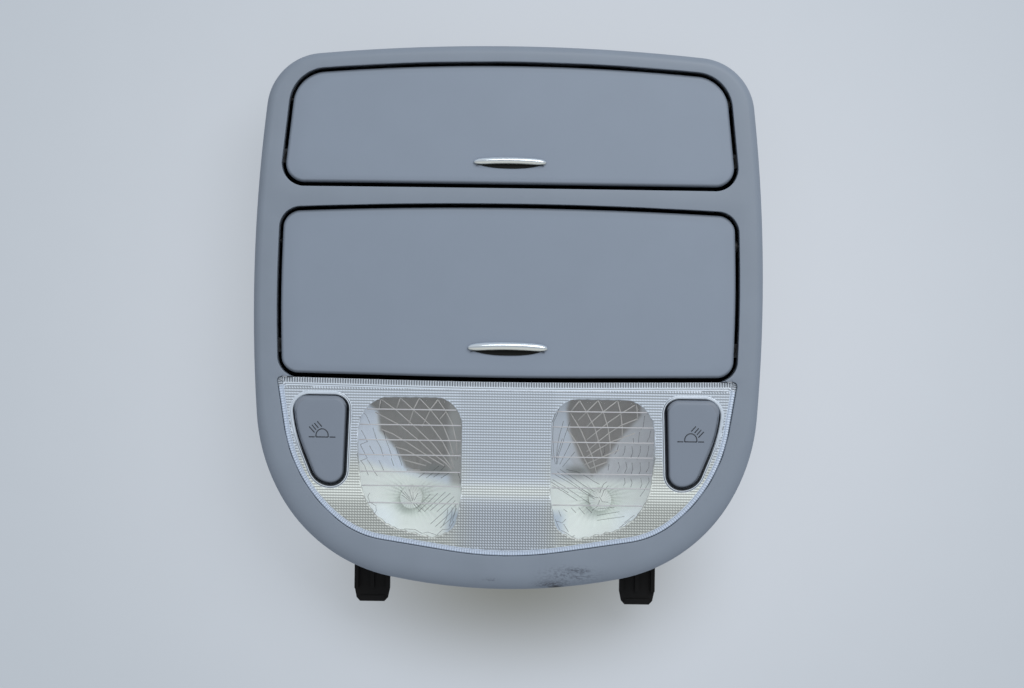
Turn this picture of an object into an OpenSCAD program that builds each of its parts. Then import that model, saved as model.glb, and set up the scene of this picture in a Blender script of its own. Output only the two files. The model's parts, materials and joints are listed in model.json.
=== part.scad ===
// Roof console for a car: two tilt-out storage doors and a pair of map lamps in one bezel.
// It lies on its back with the face up. X runs across the car, +Y towards the small door,
// +Z out of the face. The surface it lies on is Z = 0.

/* [Console face] */
// Width over the bezel at its widest
console_w = 225.8; // [216:0.2:236]
// Height of the front face over the surface it lies on
face_z = 50; // [49:0.5:54]
// Crown radius across the width
crown_across = 2500; // [1800:50:6000]
// Crown radius along the length
crown_along = 3000; // [2400:50:8000]
// Place of the crest point of the outline
crest_y = 127.6; // [126:0.2:132]
// Inset of the shoulder points from the widest line
shoulder_in = 7; // [5:0.5:9]
// Place of the shoulder points
shoulder_y = 117.7; // [117:0.5:121]
// Length of the shoulder's rounding along each side
shoulder_bend = 20.8; // [16:0.4:24]
// Bulge of the flank points past the widest line
flank_out = 2.8; // [1:0.2:4]
// Place of the flank points
flank_y = 26; // [18:1:36]
// Inset of the jaw points
jaw_in = 3.4; // [2:0.2:5]
// Place of the jaw points
jaw_y = -60; // [-63:1:-57]
// Inset of the chin points
chin_in = 29.5; // [28:0.5:31]
// Place of the chin points
chin_y = -105.5; // [-108:0.5:-104]
// Length of the chin's rounding along each side
chin_bend = 33; // [28:0.5:33.5]
// Place of the heel point of the outline
heel_y = -122.3; // [-126:0.5:-121]

/* [Bezel] */
// Height of the rear rim, where the roof lining meets the bezel
rim_z = 34; // [31:0.5:37]
// Wall of the bezel
bezel_wall = 2.4; // [2:0.1:3]
// Width of the rounded outer edge
edge_round = 4; // [3:0.2:4.6]
// Depth of the rounded outer edge
edge_drop = 4.8; // [3:0.2:6]
// How much wider the rounding gets round the chin
heel_slope = 1; // [0:0.1:1.2]
// Where along the console the rounding starts to widen
heel_from_y = -20; // [-30:1:-10]
// Length over which it widens
heel_run = 70; // [60:1:80]
// Wall of the return round each opening
return_wall = 1.8; // [1.4:0.1:2.2]
// Height of the plane where the rear parts meet the bezel
seat_z = 36; // [35.5:0.1:37]

/* [Doors] */
// Gap between a door and the bezel
door_gap = 2; // [1.6:0.1:2.4]
// Wall of a door skin
door_wall = 2.4; // [2:0.1:2.6]
// Rounding of a door's edge
door_edge = 1.4; // [1:0.1:1.8]
// How far a door opens, in degrees
door_opens = 60; // [40:1:62]

/* [Upper door] */
// Crest of the gap line at its top
upper_crest_y = 118.7; // [117.5:0.1:119]
// Height of the gap line's top corners
upper_top_y = 110.8; // [109.5:0.1:111]
// Inset of the top corners from the bezel's widest line
upper_top_in = 17.1; // [16.5:0.1:18.5]
// Rounding of the top corners along each side
upper_top_bend = 13.3; // [12:0.1:15]
// Height of the gap line at its bottom
upper_low_y = 61.05; // [60.8:0.1:63]
// Inset of the bottom corners
upper_low_in = 11.9; // [11.7:0.1:13.5]
// Rounding of the bottom corners along each side
upper_low_bend = 10.3; // [9:0.1:12]
// Place of the upper hinge along the console
upper_hinge_y = 99; // [98:0.1:100]
// Height of the upper hinge
upper_hinge_z = 40.4; // [40:0.1:40.5]
// Height of the flat where the upper tray meets its door
upper_floor_z = 43.4; // [43.3:0.1:44]
// Inset of the upper tray's sides from the bezel's widest line
upper_tray_in = 24.9; // [24:0.1:33]
// Height of the lower end of the upper tray's lip
upper_lip_z = 20; // [19:0.5:23]

/* [Lower door] */
// Crest of the gap line at its top
lower_crest_y = 54.6; // [54:0.1:54.8]
// Height of the gap line's top corners
lower_top_y = 50; // [49.5:0.1:50.2]
// Inset of the top corners from the bezel's widest line
lower_top_in = 12.4; // [12:0.1:13.5]
// Rounding of the top corners along each side
lower_top_bend = 8.2; // [7.4:0.1:10]
// Place of the side points, where the door is widest
lower_side_y = 11.6; // [8:0.4:16]
// Inset of the side points
lower_side_in = 11.3; // [11.1:0.1:12.4]
// Height of the gap line's bottom corners
lower_low_y = -23.1; // [-23.4:0.1:-22.6]
// Inset of the bottom corners
lower_low_in = 12.4; // [12.2:0.1:13.5]
// Rounding of the bottom corners along each side
lower_low_bend = 8; // [7:0.1:9]
// How far the bottom edge bows down in the middle
lower_bow = 1.5; // [0.5:0.1:2]
// Place of the lower hinge along the console
lower_hinge_y = 36; // [35:0.1:37]
// Height of the lower hinge
lower_hinge_z = 42; // [41.5:0.1:42.1]
// Height of the flat where the lower tray meets its door
lower_floor_z = 45; // [44.9:0.1:45.2]
// Inset of the lower tray's sides from the bezel's widest line
lower_tray_in = 20.9; // [20.5:0.1:29]
// Height of the lower end of the lower tray's lip
lower_lip_z = 17; // [16:0.5:22]

/* [Trays and rear housings] */
// Wall of a tray
tray_wall = 2; // [1.6:0.1:2.4]
// Gap between a tray's lip and its door's lower edge, seen from the hinge
lip_inset = 0.6; // [0.4:0.1:1.5]
// How far the tray's back wall stands off the hinge line
tray_back = 8; // [6:0.5:12]
// How much shorter a tray's back wall is than its lip
tray_rise = 6; // [3:0.5:8]
// Wall of a rear housing
housing_wall = 1.8; // [1.4:0.1:2.2]
// Thickness of a housing's back
housing_back = 2; // [1.6:0.1:3]

/* [Hinges and springs] */
// Radius of a hinge pin
pin_r = 1.25; // [1:0.05:1.4]
// Running clearance of a hinge pin
pin_clearance = 0.05; // [0.03:0.01:0.08]
// Radius of the hinge bosses
hinge_boss_r = 2.8; // [2.5:0.1:2.9]
// How far the bezel's pin boss stands out behind the return wall
pin_boss = 3; // [2:0.2:4]
// Radius of the spring wire
wire_r = 0.45; // [0.35:0.05:0.5]
// Turns of a door spring
spring_turns = 3.75; // [2.75:1:4.75]

/* [Dampers] */
// Module of the damper teeth
tooth_module = 1; // [0.9:0.05:1]
// Teeth of a damper gear
pinion_teeth = 12; // [12:1:14]
// Teeth that a full turn of the upper toothed arm would have
upper_arm_teeth = 36; // [30:1:36]
// Teeth that a full turn of the lower toothed arm would have
lower_arm_teeth = 48; // [40:1:48]
// Angle of the damper below the hinge line
damper_angle = 55; // [50:1:58]
// Width of the teeth
tooth_face = 3; // [2.4:0.1:3.2]
// Radius of a damper's body
damper_r = 8; // [7:0.1:8.5]

/* [Latches] */
// Length of a latch body along the console
latch_l = 12; // [11.4:0.1:14]
// Width of a latch body
latch_w = 14; // [12:0.5:18]
// Height of a latch body
latch_h = 12; // [11.5:0.1:12.5]
// Push of a latch, past its rest
latch_push = 1.5; // [1:0.1:1.8]

/* [Grips] */
// Length of the upper grip
upper_grip_l = 32; // [28:0.5:36]
// Width of the upper grip
upper_grip_w = 5.2; // [4.6:0.1:6]
// Place of the upper grip, over the door's bottom edge
upper_grip_up = 10.55; // [10:0.05:12]
// Length of the lower grip
lower_grip_l = 35.2; // [32:0.5:40]
// Width of the lower grip
lower_grip_w = 6.2; // [5.4:0.1:7]
// Place of the lower grip, over the door's bottom edge
lower_grip_up = 12.9; // [12:0.1:14]
// Height of the grips over the doors
grip_rise = 2.6; // [2:0.1:3]

/* [Lens] */
// Inset of the lens's top corners from the bezel's widest line
lens_top_in = 11.2; // [11:0.1:13]
// Place of the lens's jaw points
lens_jaw_y = -71.3; // [-73:0.1:-70]
// Inset of the jaw points
lens_jaw_in = 18.75; // [18:0.05:20]
// Place of the lens's chin points
lens_chin_y = -93.8; // [-95:0.1:-93]
// Inset of the chin points
lens_chin_in = 47.6; // [46.5:0.1:49]
// Rounding of the chin along each side
lens_chin_bend = 10.6; // [8:0.1:10.7]
// Place of the lens's lowest point
lens_heel_y = -103.85; // [-105:0.05:-103]
// How far the lens lies below the face of the bezel
lens_sunk = 1.2; // [0.8:0.1:1.5]
// Thickness of the lens
lens_wall = 2.2; // [1.8:0.1:2.4]
// Gap round the lens in its opening
lens_gap = 0.3; // [0.2:0.05:0.5]
// Width of the flange that holds the lens
lens_flange = 2; // [1.6:0.1:2.1]
// Width of the raised collar round a push key
collar_w = 1.4; // [1:0.1:1.6]

/* [Lamp windows and reflectors] */
// Distance of a window's inner edge from the middle
window_in = 19.7; // [18:0.1:24]
// Inset of a window's outer edge from the bezel's widest line
window_outer_in = 47.5; // [46.5:0.1:53]
// Place of a window's upper edge
window_top_y = -32; // [-36:0.1:-32]
// Place of a window's lower tip
window_tip_y = -94.5; // [-95:0.1:-90]
// Wall of a reflector
reflector_wall = 1.4; // [1.2:0.1:1.6]
// Place of the bulbs along the console
bulb_y = -78; // [-80:0.1:-66]
// Radius of a bulb's glass
bulb_r = 5; // [4.5:0.1:5.4]

/* [Push keys] */
// Inset of a key's straight inner edge from the bezel's widest line
key_inner_in = 42.4; // [41.5:0.1:43]
// Inset of a key's outer corner from the bezel's widest line
key_outer_in = 18.3; // [18:0.1:20]
// Place of a key's upper edge
key_top_y = -32.1; // [-34:0.1:-32]
// Place of a key's lower end
key_low_y = -71; // [-72:0.1:-68]
// Rounding of a key's top corners along each side
key_round = 5.5; // [4:0.1:6]
// Length of a key's outer edge, from its top corner to where it turns inward
key_shoulder = 15; // [13:0.5:17]
// Width of a key's lower end, with its inner taper
key_tip_w = 13; // [11:0.5:14]
// How far a key's sides lean inward
key_taper = 1.2; // [0.8:0.1:1.6]
// Gap between a key and the lens
key_gap = 0.8; // [0.6:0.05:1]
// Travel of a key
key_travel = 2; // [1.5:0.1:2.4]
// Place of the push switches along the console
switch_y = -50; // [-52:0.5:-46]

/* [Lamp housing] */
// Height of the lamp housing's back
lamp_back_z = 6; // [4:0.5:7]
// Wall of the lamp housing
lamp_wall = 1.8; // [1.4:0.1:2]
// Height of the underside of the circuit board
board_z = 16; // [15:0.5:17]
// Thickness of the circuit board
board_t = 1.6; // [1.2:0.2:2]
// Distance of a hook's middle from the console's middle
hook_x = 60.1; // [50:0.1:62]
// Width of a hook
hook_w = 16; // [12:0.5:18]
// Place of the hooks' ends
hook_end_y = -126; // [-127:0.2:-121]
// Height of a hook's underside
hook_z = 19; // [14:0.5:22]
// Thickness of a hook's web
hook_t = 2.6; // [2:0.1:3.4]

/* [Screws] */
// Radius of the screws that hold the rear parts
screw_r = 1.4; // [1.2:0.05:1.6]
// Radius of their heads
screw_head_r = 2.3; // [2.2:0.05:2.5]
// Distance of the roof screws from the middle
roof_screw_x = 60; // [40:1:66]
// Place of the roof screws along the console
roof_screw_y = 86; // [84:0.5:90]
// Radius of the roof screw holes
roof_hole_r = 2.75; // [2.2:0.05:3.2]

/* [Hidden] */
$fn = 48;
UPPER = 0;
LOWER = 1;

half_w = console_w / 2;
face_mid = [0, 3];
arc_step = 11;
span_step = 26;
opening_out = door_gap / 2;
return_out = opening_out + return_wall;
fit = 0.05;
gap = 0.3;
// How far joined shapes and cuts run into or past each other
lap = 1;
// Sizes of small features that two pieces share
tray_screw_r = 1.1;
tray_screw_head = 2.2;
board_screw_r = 1.1;
board_screw_head = 2.4;
head_h = 1.6;
door_post_r = 2.6;
grip_peg_r = 1;
stop_r = 1.8;
stop_h = 2;
striker_w = 4;
striker_t = 2;
striker_l = 6.8;
latch_floor = 2;
fork_w = 9.2;
fork_l = 8.4;
arbor_r = 1.5;
upper_left_boss_l = 3.5;
lower_left_boss_l = 4;
spring_coil_r = pin_r + 0.5 + wire_r;
holder_r = 7.4;
wedge_w = 9.2;
wedge_t = 4.6;
wedge_h = 7;
neck_h = 2.4;
glass_h = 10.6;
switch_w = 12;
switch_h = 8;
plunger_w = 5;
plunger_h = 5;
header_w = 26;
header_l = 13;
header_y = -62;
header_wall = 1.5;
pin_pitch = 3.6;
pin_w = 1;
hook_flange = 1.8;
hook_lip = 2.6;
hook_round = 2.4;
smoke = [0.20, 0.21, 0.22];
shell_grey = [0.53, 0.57, 0.62];
steel = [0.72, 0.73, 0.75];

function unit(v) = v / norm(v);
function smooth(t) = let (c = max(0, min(1, t))) c * c * (3 - 2 * c);
function pick(bay, upper, lower) = bay == UPPER ? upper : lower;
// Height of the crowned face over a point
function crown(p) = face_z - p[0] * p[0] / (2 * crown_across) - p[1] * p[1] / (2 * crown_along);

// A right half of corner points, from the top down, made a closed loop that runs anticlockwise
function loop(half) = concat(
    [for (i = [len(half) - 1 : -1 : 0]) half[i]],
    [for (i = [1 : len(half) - 2]) [-half[i][0], half[i][1], half[i][2]]]
);

// One rounded corner as centre, radius, start angle and turn; its third number is how far the
// rounding reaches along each side
function corner(a, b, c) =
    let (
        u = unit([a[0] - b[0], a[1] - b[1]]),
        v = unit([c[0] - b[0], c[1] - b[1]]),
        bend = acos(max(-1, min(1, -u * v))),
        turn = bend < 0.5 ? 0 : u[0] * v[1] < u[1] * v[0] ? bend : -bend,
        r = turn == 0 ? 0 : b[2] / tan(turn / 2),
        start = [b[0], b[1]] + (turn == 0 ? 0 : b[2]) * u
    )
    [start - r * [-u[1], u[0]], r, atan2(u[0], -u[1]), turn];

function corners(lp) =
    let (n = len(lp)) [for (i = [0 : n - 1]) corner(lp[(i + n - 1) % n], lp[i], lp[(i + 1) % n])];

// How far a ring moves at a place along the console: the outer edge slopes more at the chin
function weight(kind, y) = kind == "heel" ? 1 + heel_slope * smooth((heel_from_y - y) / heel_run) : 1;

function on_arc(c, a, out, kind) =
    let (
        dir = [cos(a), sin(a)],
        base = c[0] + c[1] * dir
    )
    base + out * weight(kind, base[1]) * dir;

// Points of a loop moved out by a distance, round its corners and along its straight stretches
function outline(lp, out = 0, kind = "plain") =
    let (cs = corners(lp), n = len(cs))
    [for (i = [0 : n - 1])
        let (
            c = cs[i],
            d = cs[(i + 1) % n],
            steps = c[3] == 0 ? 0 : max(4, ceil(abs(c[3]) / arc_step)),
            end_a = c[2] + c[3],
            from = on_arc(c, end_a, 0, "plain"),
            to = on_arc(d, d[2], 0, "plain"),
            spans = max(1, ceil(norm(to - from) / span_step))
        )
        each concat(
            [for (k = [0 : steps]) on_arc(c, c[2] + c[3] * k / max(1, steps), out, kind)],
            [for (k = [1 : 1 : spans - 1])
                let (base = from + (to - from) * k / spans)
                base + out * weight(kind, base[1]) * [cos(end_a), sin(end_a)]]
        )];

// Half width of a ring of points at a place along the console
function across(points, y) =
    let (n = len(points))
    max([for (i = [0 : n - 1])
        let (a = points[i], b = points[(i + 1) % n])
        if ((a[1] - y) * (b[1] - y) <= 0 && a[1] != b[1])
            a[0] + (b[0] - a[0]) * (y - a[1]) / (b[1] - a[1])]);

// A ring of a skin. Its spec is pull towards the middle, out, drop under the crown, flat height
// where it has one, and kind of weight
function ring(lp, mid, spec) =
    [for (p = outline(lp, spec[1], spec[4]))
        let (q = mid + spec[0] * (p - mid))
        [q[0], q[1], is_undef(spec[3]) ? crown(q) - spec[2] : spec[3]]];

function band(a, b, n) = [for (i = [0 : n - 1]) each [
    [a + i, a + (i + 1) % n, b + i],
    [a + (i + 1) % n, b + (i + 1) % n, b + i]
]];

// A skin from a pole over the middle, out through its rings and back to a pole under it
module skin(lp, mid, specs, over, under) {
    rings = [for (s = specs) ring(lp, mid, s)];
    n = len(rings[0]);
    m = len(rings);
    points = concat([[mid[0], mid[1], over], [mid[0], mid[1], under]], [for (r = rings) each r]);
    faces = concat(
        [for (i = [0 : n - 1]) [0, 2 + (i + 1) % n, 2 + i]],
        [for (k = [0 : m - 2]) each band(2 + k * n, 2 + (k + 1) * n, n)],
        [for (i = [0 : n - 1]) [1, 2 + (m - 1) * n + i, 2 + (m - 1) * n + (i + 1) % n]]
    );
    polyhedron(points, faces, convexity = 8);
}

// A wall that follows a loop, through rings in order round its section
module wall_round(lp, specs) {
    rings = [for (s = specs) ring(lp, [0, 0], s)];
    n = len(rings[0]);
    m = len(rings);
    polyhedron([for (r = rings) each r],
        [for (k = [0 : m - 1]) each band(k * n, (k + 1) % m * n, n)], convexity = 8);
}

// A straight prism inside a loop
module prism(lp, out, z0, z1) {
    translate([0, 0, z0]) linear_extrude(z1 - z0) polygon(outline(lp, out));
}

// A flat profile drawn with the console's length to the right and its height up, carried across
module along_x(x0, x1) {
    translate([x0, 0, 0]) rotate([90, 0, 90]) linear_extrude(x1 - x0) children();
}

module rod_x(x0, x1, y, z, r) {
    translate([x0, y, z]) rotate([0, 90, 0]) cylinder(h = x1 - x0, r = r);
}

module both_sides() {
    children();
    mirror([1, 0, 0]) children();
}

module box(a, b) {
    translate(a) cube(b - a);
}

// Lengths left for the long roundings of the bezel, between roundings that have a size
bend_rest = 0.2;
crest_bend = norm([half_w - shoulder_in, crest_y - shoulder_y]) - shoulder_bend - bend_rest;
jaw_bend = norm([chin_in - jaw_in, chin_y - jaw_y]) - chin_bend - bend_rest;
flank_bend = min(norm([flank_out + jaw_in, flank_y - jaw_y]) - jaw_bend,
    norm([flank_out + shoulder_in, flank_y - shoulder_y]) - shoulder_bend) - bend_rest;
heel_bend = norm([half_w - chin_in, heel_y - chin_y]) - chin_bend - bend_rest;
bezel_half = [
    [0, crest_y, crest_bend],
    [half_w - shoulder_in, shoulder_y, shoulder_bend],
    [half_w + flank_out, flank_y, flank_bend],
    [half_w - jaw_in, jaw_y, jaw_bend],
    [half_w - chin_in, chin_y, chin_bend],
    [0, heel_y, heel_bend]
];
upper_crest_bend = norm([half_w - upper_top_in, upper_crest_y - upper_top_y]) - upper_top_bend - bend_rest;
lower_crest_bend = norm([half_w - lower_top_in, lower_crest_y - lower_top_y]) - lower_top_bend - bend_rest;
lens_jaw_bend = norm([lens_chin_in - lens_jaw_in, lens_chin_y - lens_jaw_y]) - lens_chin_bend - bend_rest;
upper_half = [
    [0, upper_crest_y, upper_crest_bend],
    [half_w - upper_top_in, upper_top_y, upper_top_bend],
    [half_w - upper_low_in, upper_low_y, upper_low_bend],
    [0, upper_low_y, 1]
];
lower_half = [
    [0, lower_crest_y, lower_crest_bend],
    [half_w - lower_top_in, lower_top_y, lower_top_bend],
    [half_w - lower_side_in, lower_side_y, 20],
    [half_w - lower_low_in, lower_low_y, lower_low_bend],
    [0, lower_low_y - lower_bow, 40]
];
// The lens, with its top edge moved down where a part clears the door above it
function lens_top_y() = lower_low_y - opening_out - lower_bow / 2;
function lens_half(down = 0) = [
    [0, lower_low_y - opening_out - lower_bow - down, 40],
    [half_w - lens_top_in, lower_low_y - opening_out - down, 2.1],
    [half_w - lens_jaw_in, lens_jaw_y, lens_jaw_bend],
    [half_w - lens_chin_in, lens_chin_y, lens_chin_bend],
    [0, lens_heel_y, 24.8]
];
// Right-hand window, run anticlockwise: places and roundings as shares of its width and length
window_out = half_w - window_outer_in;
window_w = window_out - window_in;
window_l = window_top_y - window_tip_y;
window_loop = [for (c = [
    [0, 1.002, 0.263],
    [0.002, 0.28, 0.131],
    [0.057, 0.064, 0.0875],
    [0.258, -0.002, 0.0766],
    [0.74, 0.083, 0.164],
    [0.958, 0.28, 0.175],
    [1.007, 0.616, 0.219],
    [0.989, 1.005, 0.284]
]) [window_in + c[0] * window_w, window_tip_y + c[1] * window_l, c[2] * window_w]];
bulb_x = window_in + window_w / 2;
// Right-hand push key, run anticlockwise
key_in = half_w - key_inner_in;
key_out = half_w - key_outer_in;
key_tip_bend = (key_tip_w - key_taper) / 2 - bend_rest / 2;
key_loop = [
    [key_in - key_taper / 12, key_top_y, key_round],
    [key_in + key_taper, key_low_y, key_tip_bend],
    [key_in + key_tip_w, key_low_y, key_tip_bend],
    [key_out - key_taper, key_top_y - key_shoulder, key_shoulder - key_round - bend_rest],
    [key_out, key_top_y, key_round]
];
key_mid = [(key_in + key_out) / 2 - key_taper, switch_y];

// Sizes of one bay, for the upper or the lower door
function bay_loop(bay) = pick(bay, loop(upper_half), loop(lower_half));
function hinge(bay) = pick(bay, [upper_hinge_y, upper_hinge_z], [lower_hinge_y, lower_hinge_z]);
function floor_at(bay) = pick(bay, upper_floor_z, lower_floor_z);
function tray_half(bay) = half_w - pick(bay, upper_tray_in, lower_tray_in);
function lip_z(bay) = pick(bay, upper_lip_z, lower_lip_z);
function low_y(bay) = pick(bay, upper_low_y, lower_low_y);
function bay_mid(bay) = [0, pick(bay, (upper_crest_y + upper_low_y) / 2, (lower_crest_y + lower_low_y) / 2)];
// Reach of the lip from the hinge
function lip_r(bay) = hinge(bay)[0] - low_y(bay) - opening_out - lip_inset;
// Place where the lip ends
function lip_y(bay) = hinge(bay)[0] - sqrt(pow(lip_r(bay), 2) - pow(hinge(bay)[1] - lip_z(bay), 2));
function side_at(bay, y) = across(outline(bay_loop(bay), opening_out), y);
function arm_teeth(bay) = pick(bay, upper_arm_teeth, lower_arm_teeth);
function damper_at(bay) = hinge(bay) - tooth_module * (arm_teeth(bay) + pinion_teeth) / 2
    * [sin(damper_angle), cos(damper_angle)];
function left_boss_l(bay) = pick(bay, upper_left_boss_l, lower_left_boss_l);
function damper_end(bay) = side_at(bay, damper_at(bay)[0]) - 1.5;
function striker_y(bay) = lip_y(bay) + 5;
function latch_y(bay) = striker_y(bay) - 0.9;
function latch_base(bay) = lip_z(bay) - 3 - latch_h;
function stop_y(bay) = low_y(bay) + 13;

// Screw posts of the rear parts, midway between an opening's return and the bezel's outer wall:
// right-hand places, mirrored to the left
function wall_at(y) = across(outline(loop(bezel_half)), y) - bezel_wall;
function post_at(bay, y) = [(side_at(bay, y) + return_wall + wall_at(y)) / 2, y];
bay_posts = [
    [for (y = [upper_low_y + 11, upper_hinge_y - 8.4]) post_at(UPPER, y)],
    [for (y = [lower_low_y + 11, lower_top_y - 6]) post_at(LOWER, y)]
];
post_r = 3.6;
underside_rise = 0.3;
flange_room = 0.4;
lens_ledge_w = 6;
ear_t = 2.6;
ear_r = 3.2;
function lens_side(y) = across(outline(loop(lens_half())), y);
lamp_out = lens_flange + 0.1;
side_post_y = switch_y - 2;
low_post_x = window_in + 0.225 * window_w;
post_screw_l = 10;
lamp_posts = [
    [lens_side(side_post_y) + lamp_out + 4, side_post_y],
    [low_post_x, -across_low(low_post_x) - lamp_out - 2]
];
tray_screw_x = half_w * 0.55;
function tray_screws_y(bay) = [hinge(bay)[0] - 12.8, low_y(bay) + 10];

module bezel() color(shell_grey) {
    rounded_edge = [
        [1, -edge_round, edge_drop * 0.02, undef, "heel"],
        [1, -edge_round * 0.52, edge_drop * 0.16, undef, "heel"],
        [1, -edge_round * 0.16, edge_drop * 0.5, undef, "heel"],
        [1, 0, edge_drop]
    ];
    difference() {
        union() {
            difference() {
                union() {
                    skin(loop(bezel_half), face_mid, concat(
                        [[0.6, 0, 0]],
                        rounded_edge,
                        [[1, 0, 0, rim_z],
                        [1, -bezel_wall, 0, rim_z],
                        [1, -bezel_wall, edge_drop + 3],
                        [1, -edge_round - 1.5, bezel_wall + underside_rise, undef, "heel"],
                        [0.6, 0, bezel_wall]]
                    ), face_z, face_z - bezel_wall);
                    for (bay = [UPPER, LOWER]) return_round(bay_loop(bay), opening_out - gap, return_out);
                    return_round(loop(lens_half()), lens_flange + flange_room, lens_flange + flange_room + return_wall);
                }
                for (bay = [UPPER, LOWER]) prism(bay_loop(bay), opening_out, rim_z - 4, face_z + 5);
                prism(loop(lens_half()), lens_gap, rim_z - 4, face_z + 5);
            }
            lens_ledge();
            for (bay = [UPPER, LOWER]) {
                both_sides() {
                    for (p = bay_posts[bay]) screw_post(p);
                    hinge_boss(bay);
                    stop_ledge(bay);
                }
            }
            both_sides() for (p = lamp_posts) screw_post(p);
        }
        for (bay = [UPPER, LOWER]) {
            both_sides() {
                for (p = bay_posts[bay]) pilot(p);
                rod_x(side_at(bay, hinge(bay)[0]) - 3, side_at(bay, hinge(bay)[0]) + 12,
                    hinge(bay)[0], hinge(bay)[1], pin_r + pin_clearance);
            }
        }
        both_sides() for (p = lamp_posts) pilot(p);
    }
}

// The wall that returns behind an opening, from the face down to the seat
module return_round(lp, inner, outer) {
    wall_round(lp, [
        [1, inner, bezel_wall / 2],
        [1, outer, bezel_wall / 2],
        [1, outer, 0, seat_z],
        [1, inner, 0, seat_z]
    ]);
}

// The bar that carries the top edge of the lens, under the lower door's gap: a plate that
// follows the crown, with a web down to the seat
module lens_ledge() {
    ledge_t = 2.2;
    steps = 8;
    side = lens_side(lens_top_y() - lens_ledge_w / 2) + lens_flange + flange_room + return_wall / 2;
    depth = lens_sunk + lens_wall + 2 * fit;
    points = [for (i = [0 : steps])
        let (
            x = side * (2 * i / steps - 1),
            y = low_y(LOWER) - opening_out - lower_bow * (1 - abs(x) / half_w),
            z = crown([x, y - lens_ledge_w]) - depth
        )
        each [[x, y, z], [x, y, seat_z], [x, y - return_wall, seat_z], [x, y - return_wall, z - ledge_t],
            [x, y - lens_ledge_w, z - ledge_t], [x, y - lens_ledge_w, z]]];
    rail(points, 6);
}

// A rail through sections of k points each, given clockwise as seen from its far end
module rail(points, k) {
    last = len(points) / k - 1;
    sides = [for (i = [0 : last - 1]) each [for (j = [0 : k - 1]) each [
        [i * k + j, i * k + (j + 1) % k, (i + 1) * k + j],
        [i * k + (j + 1) % k, (i + 1) * k + (j + 1) % k, (i + 1) * k + j]
    ]]];
    polyhedron(points, concat(
        sides,
        [[for (j = [k - 1 : -1 : 0]) j]],
        [[for (j = [0 : k - 1]) last * k + j]]
    ), convexity = 6);
}

module screw_post(p) {
    translate([p[0], p[1], seat_z]) cylinder(h = crown(p) - bezel_wall / 2 - seat_z, r = post_r);
}

module pilot(p) {
    translate([p[0], p[1], seat_z - 1]) cylinder(h = 9, r = screw_r + fit);
}

module hinge_boss(bay) {
    h = hinge(bay);
    side = side_at(bay, h[0]);
    rod_x(side + gap, side + return_wall + pin_boss, h[0], h[1], hinge_boss_r);
}

// A tab in the opening's lower corner, under the door, that carries a rubber stop
module stop_ledge(bay) {
    y = stop_y(bay);
    side = side_at(bay, y);
    top = floor_at(bay) - stop_h;
    box([side - 2.8 * stop_r, y - 1.7 * stop_r, top - 1.4 * stop_r], [side + return_wall / 3, y + 1.7 * stop_r, top]);
}

module bump_stops(bay) color(smoke) {
    y = stop_y(bay);
    both_sides() translate([side_at(bay, y) - 1.45 * stop_r, y, floor_at(bay) - stop_h])
        cylinder(h = stop_h - gap, r = stop_r);
}

module door(bay) color(shell_grey + [0.02, 0.02, 0.02]) {
    mid = bay_mid(bay);
    floor_z = floor_at(bay);
    difference() {
        union() {
            skin(bay_loop(bay), mid, [
                [0.6, -opening_out, 0],
                [1, -opening_out - door_edge, 0.03],
                [1, -opening_out - door_edge * 0.3, door_edge * 0.3],
                [1, -opening_out, door_edge],
                [1, -opening_out, 0, floor_z],
                [1, -opening_out - door_wall, 0, floor_z],
                [1, -opening_out - door_wall, door_wall + 0.2]
            ], crown(mid), crown(mid) - door_wall);
            both_sides() for (y = tray_screws_y(bay)) door_post(y, floor_z, 0, door_post_r);
        }
        both_sides() for (y = tray_screws_y(bay)) door_post(y, floor_z, lap, tray_screw_r + fit);
        both_sides() translate([grip_peg_x(bay), grip_y(bay), floor_z])
            cylinder(h = face_z - floor_z + lap, r = grip_peg_r + fit);
    }
}

// A screw post under a door, or its pilot hole
module door_post(y, floor_z, below, r) {
    translate([tray_screw_x, y, floor_z - below])
        cylinder(h = crown([tray_screw_x, y]) - door_wall / 2 - floor_z + below, r = r);
}

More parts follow.
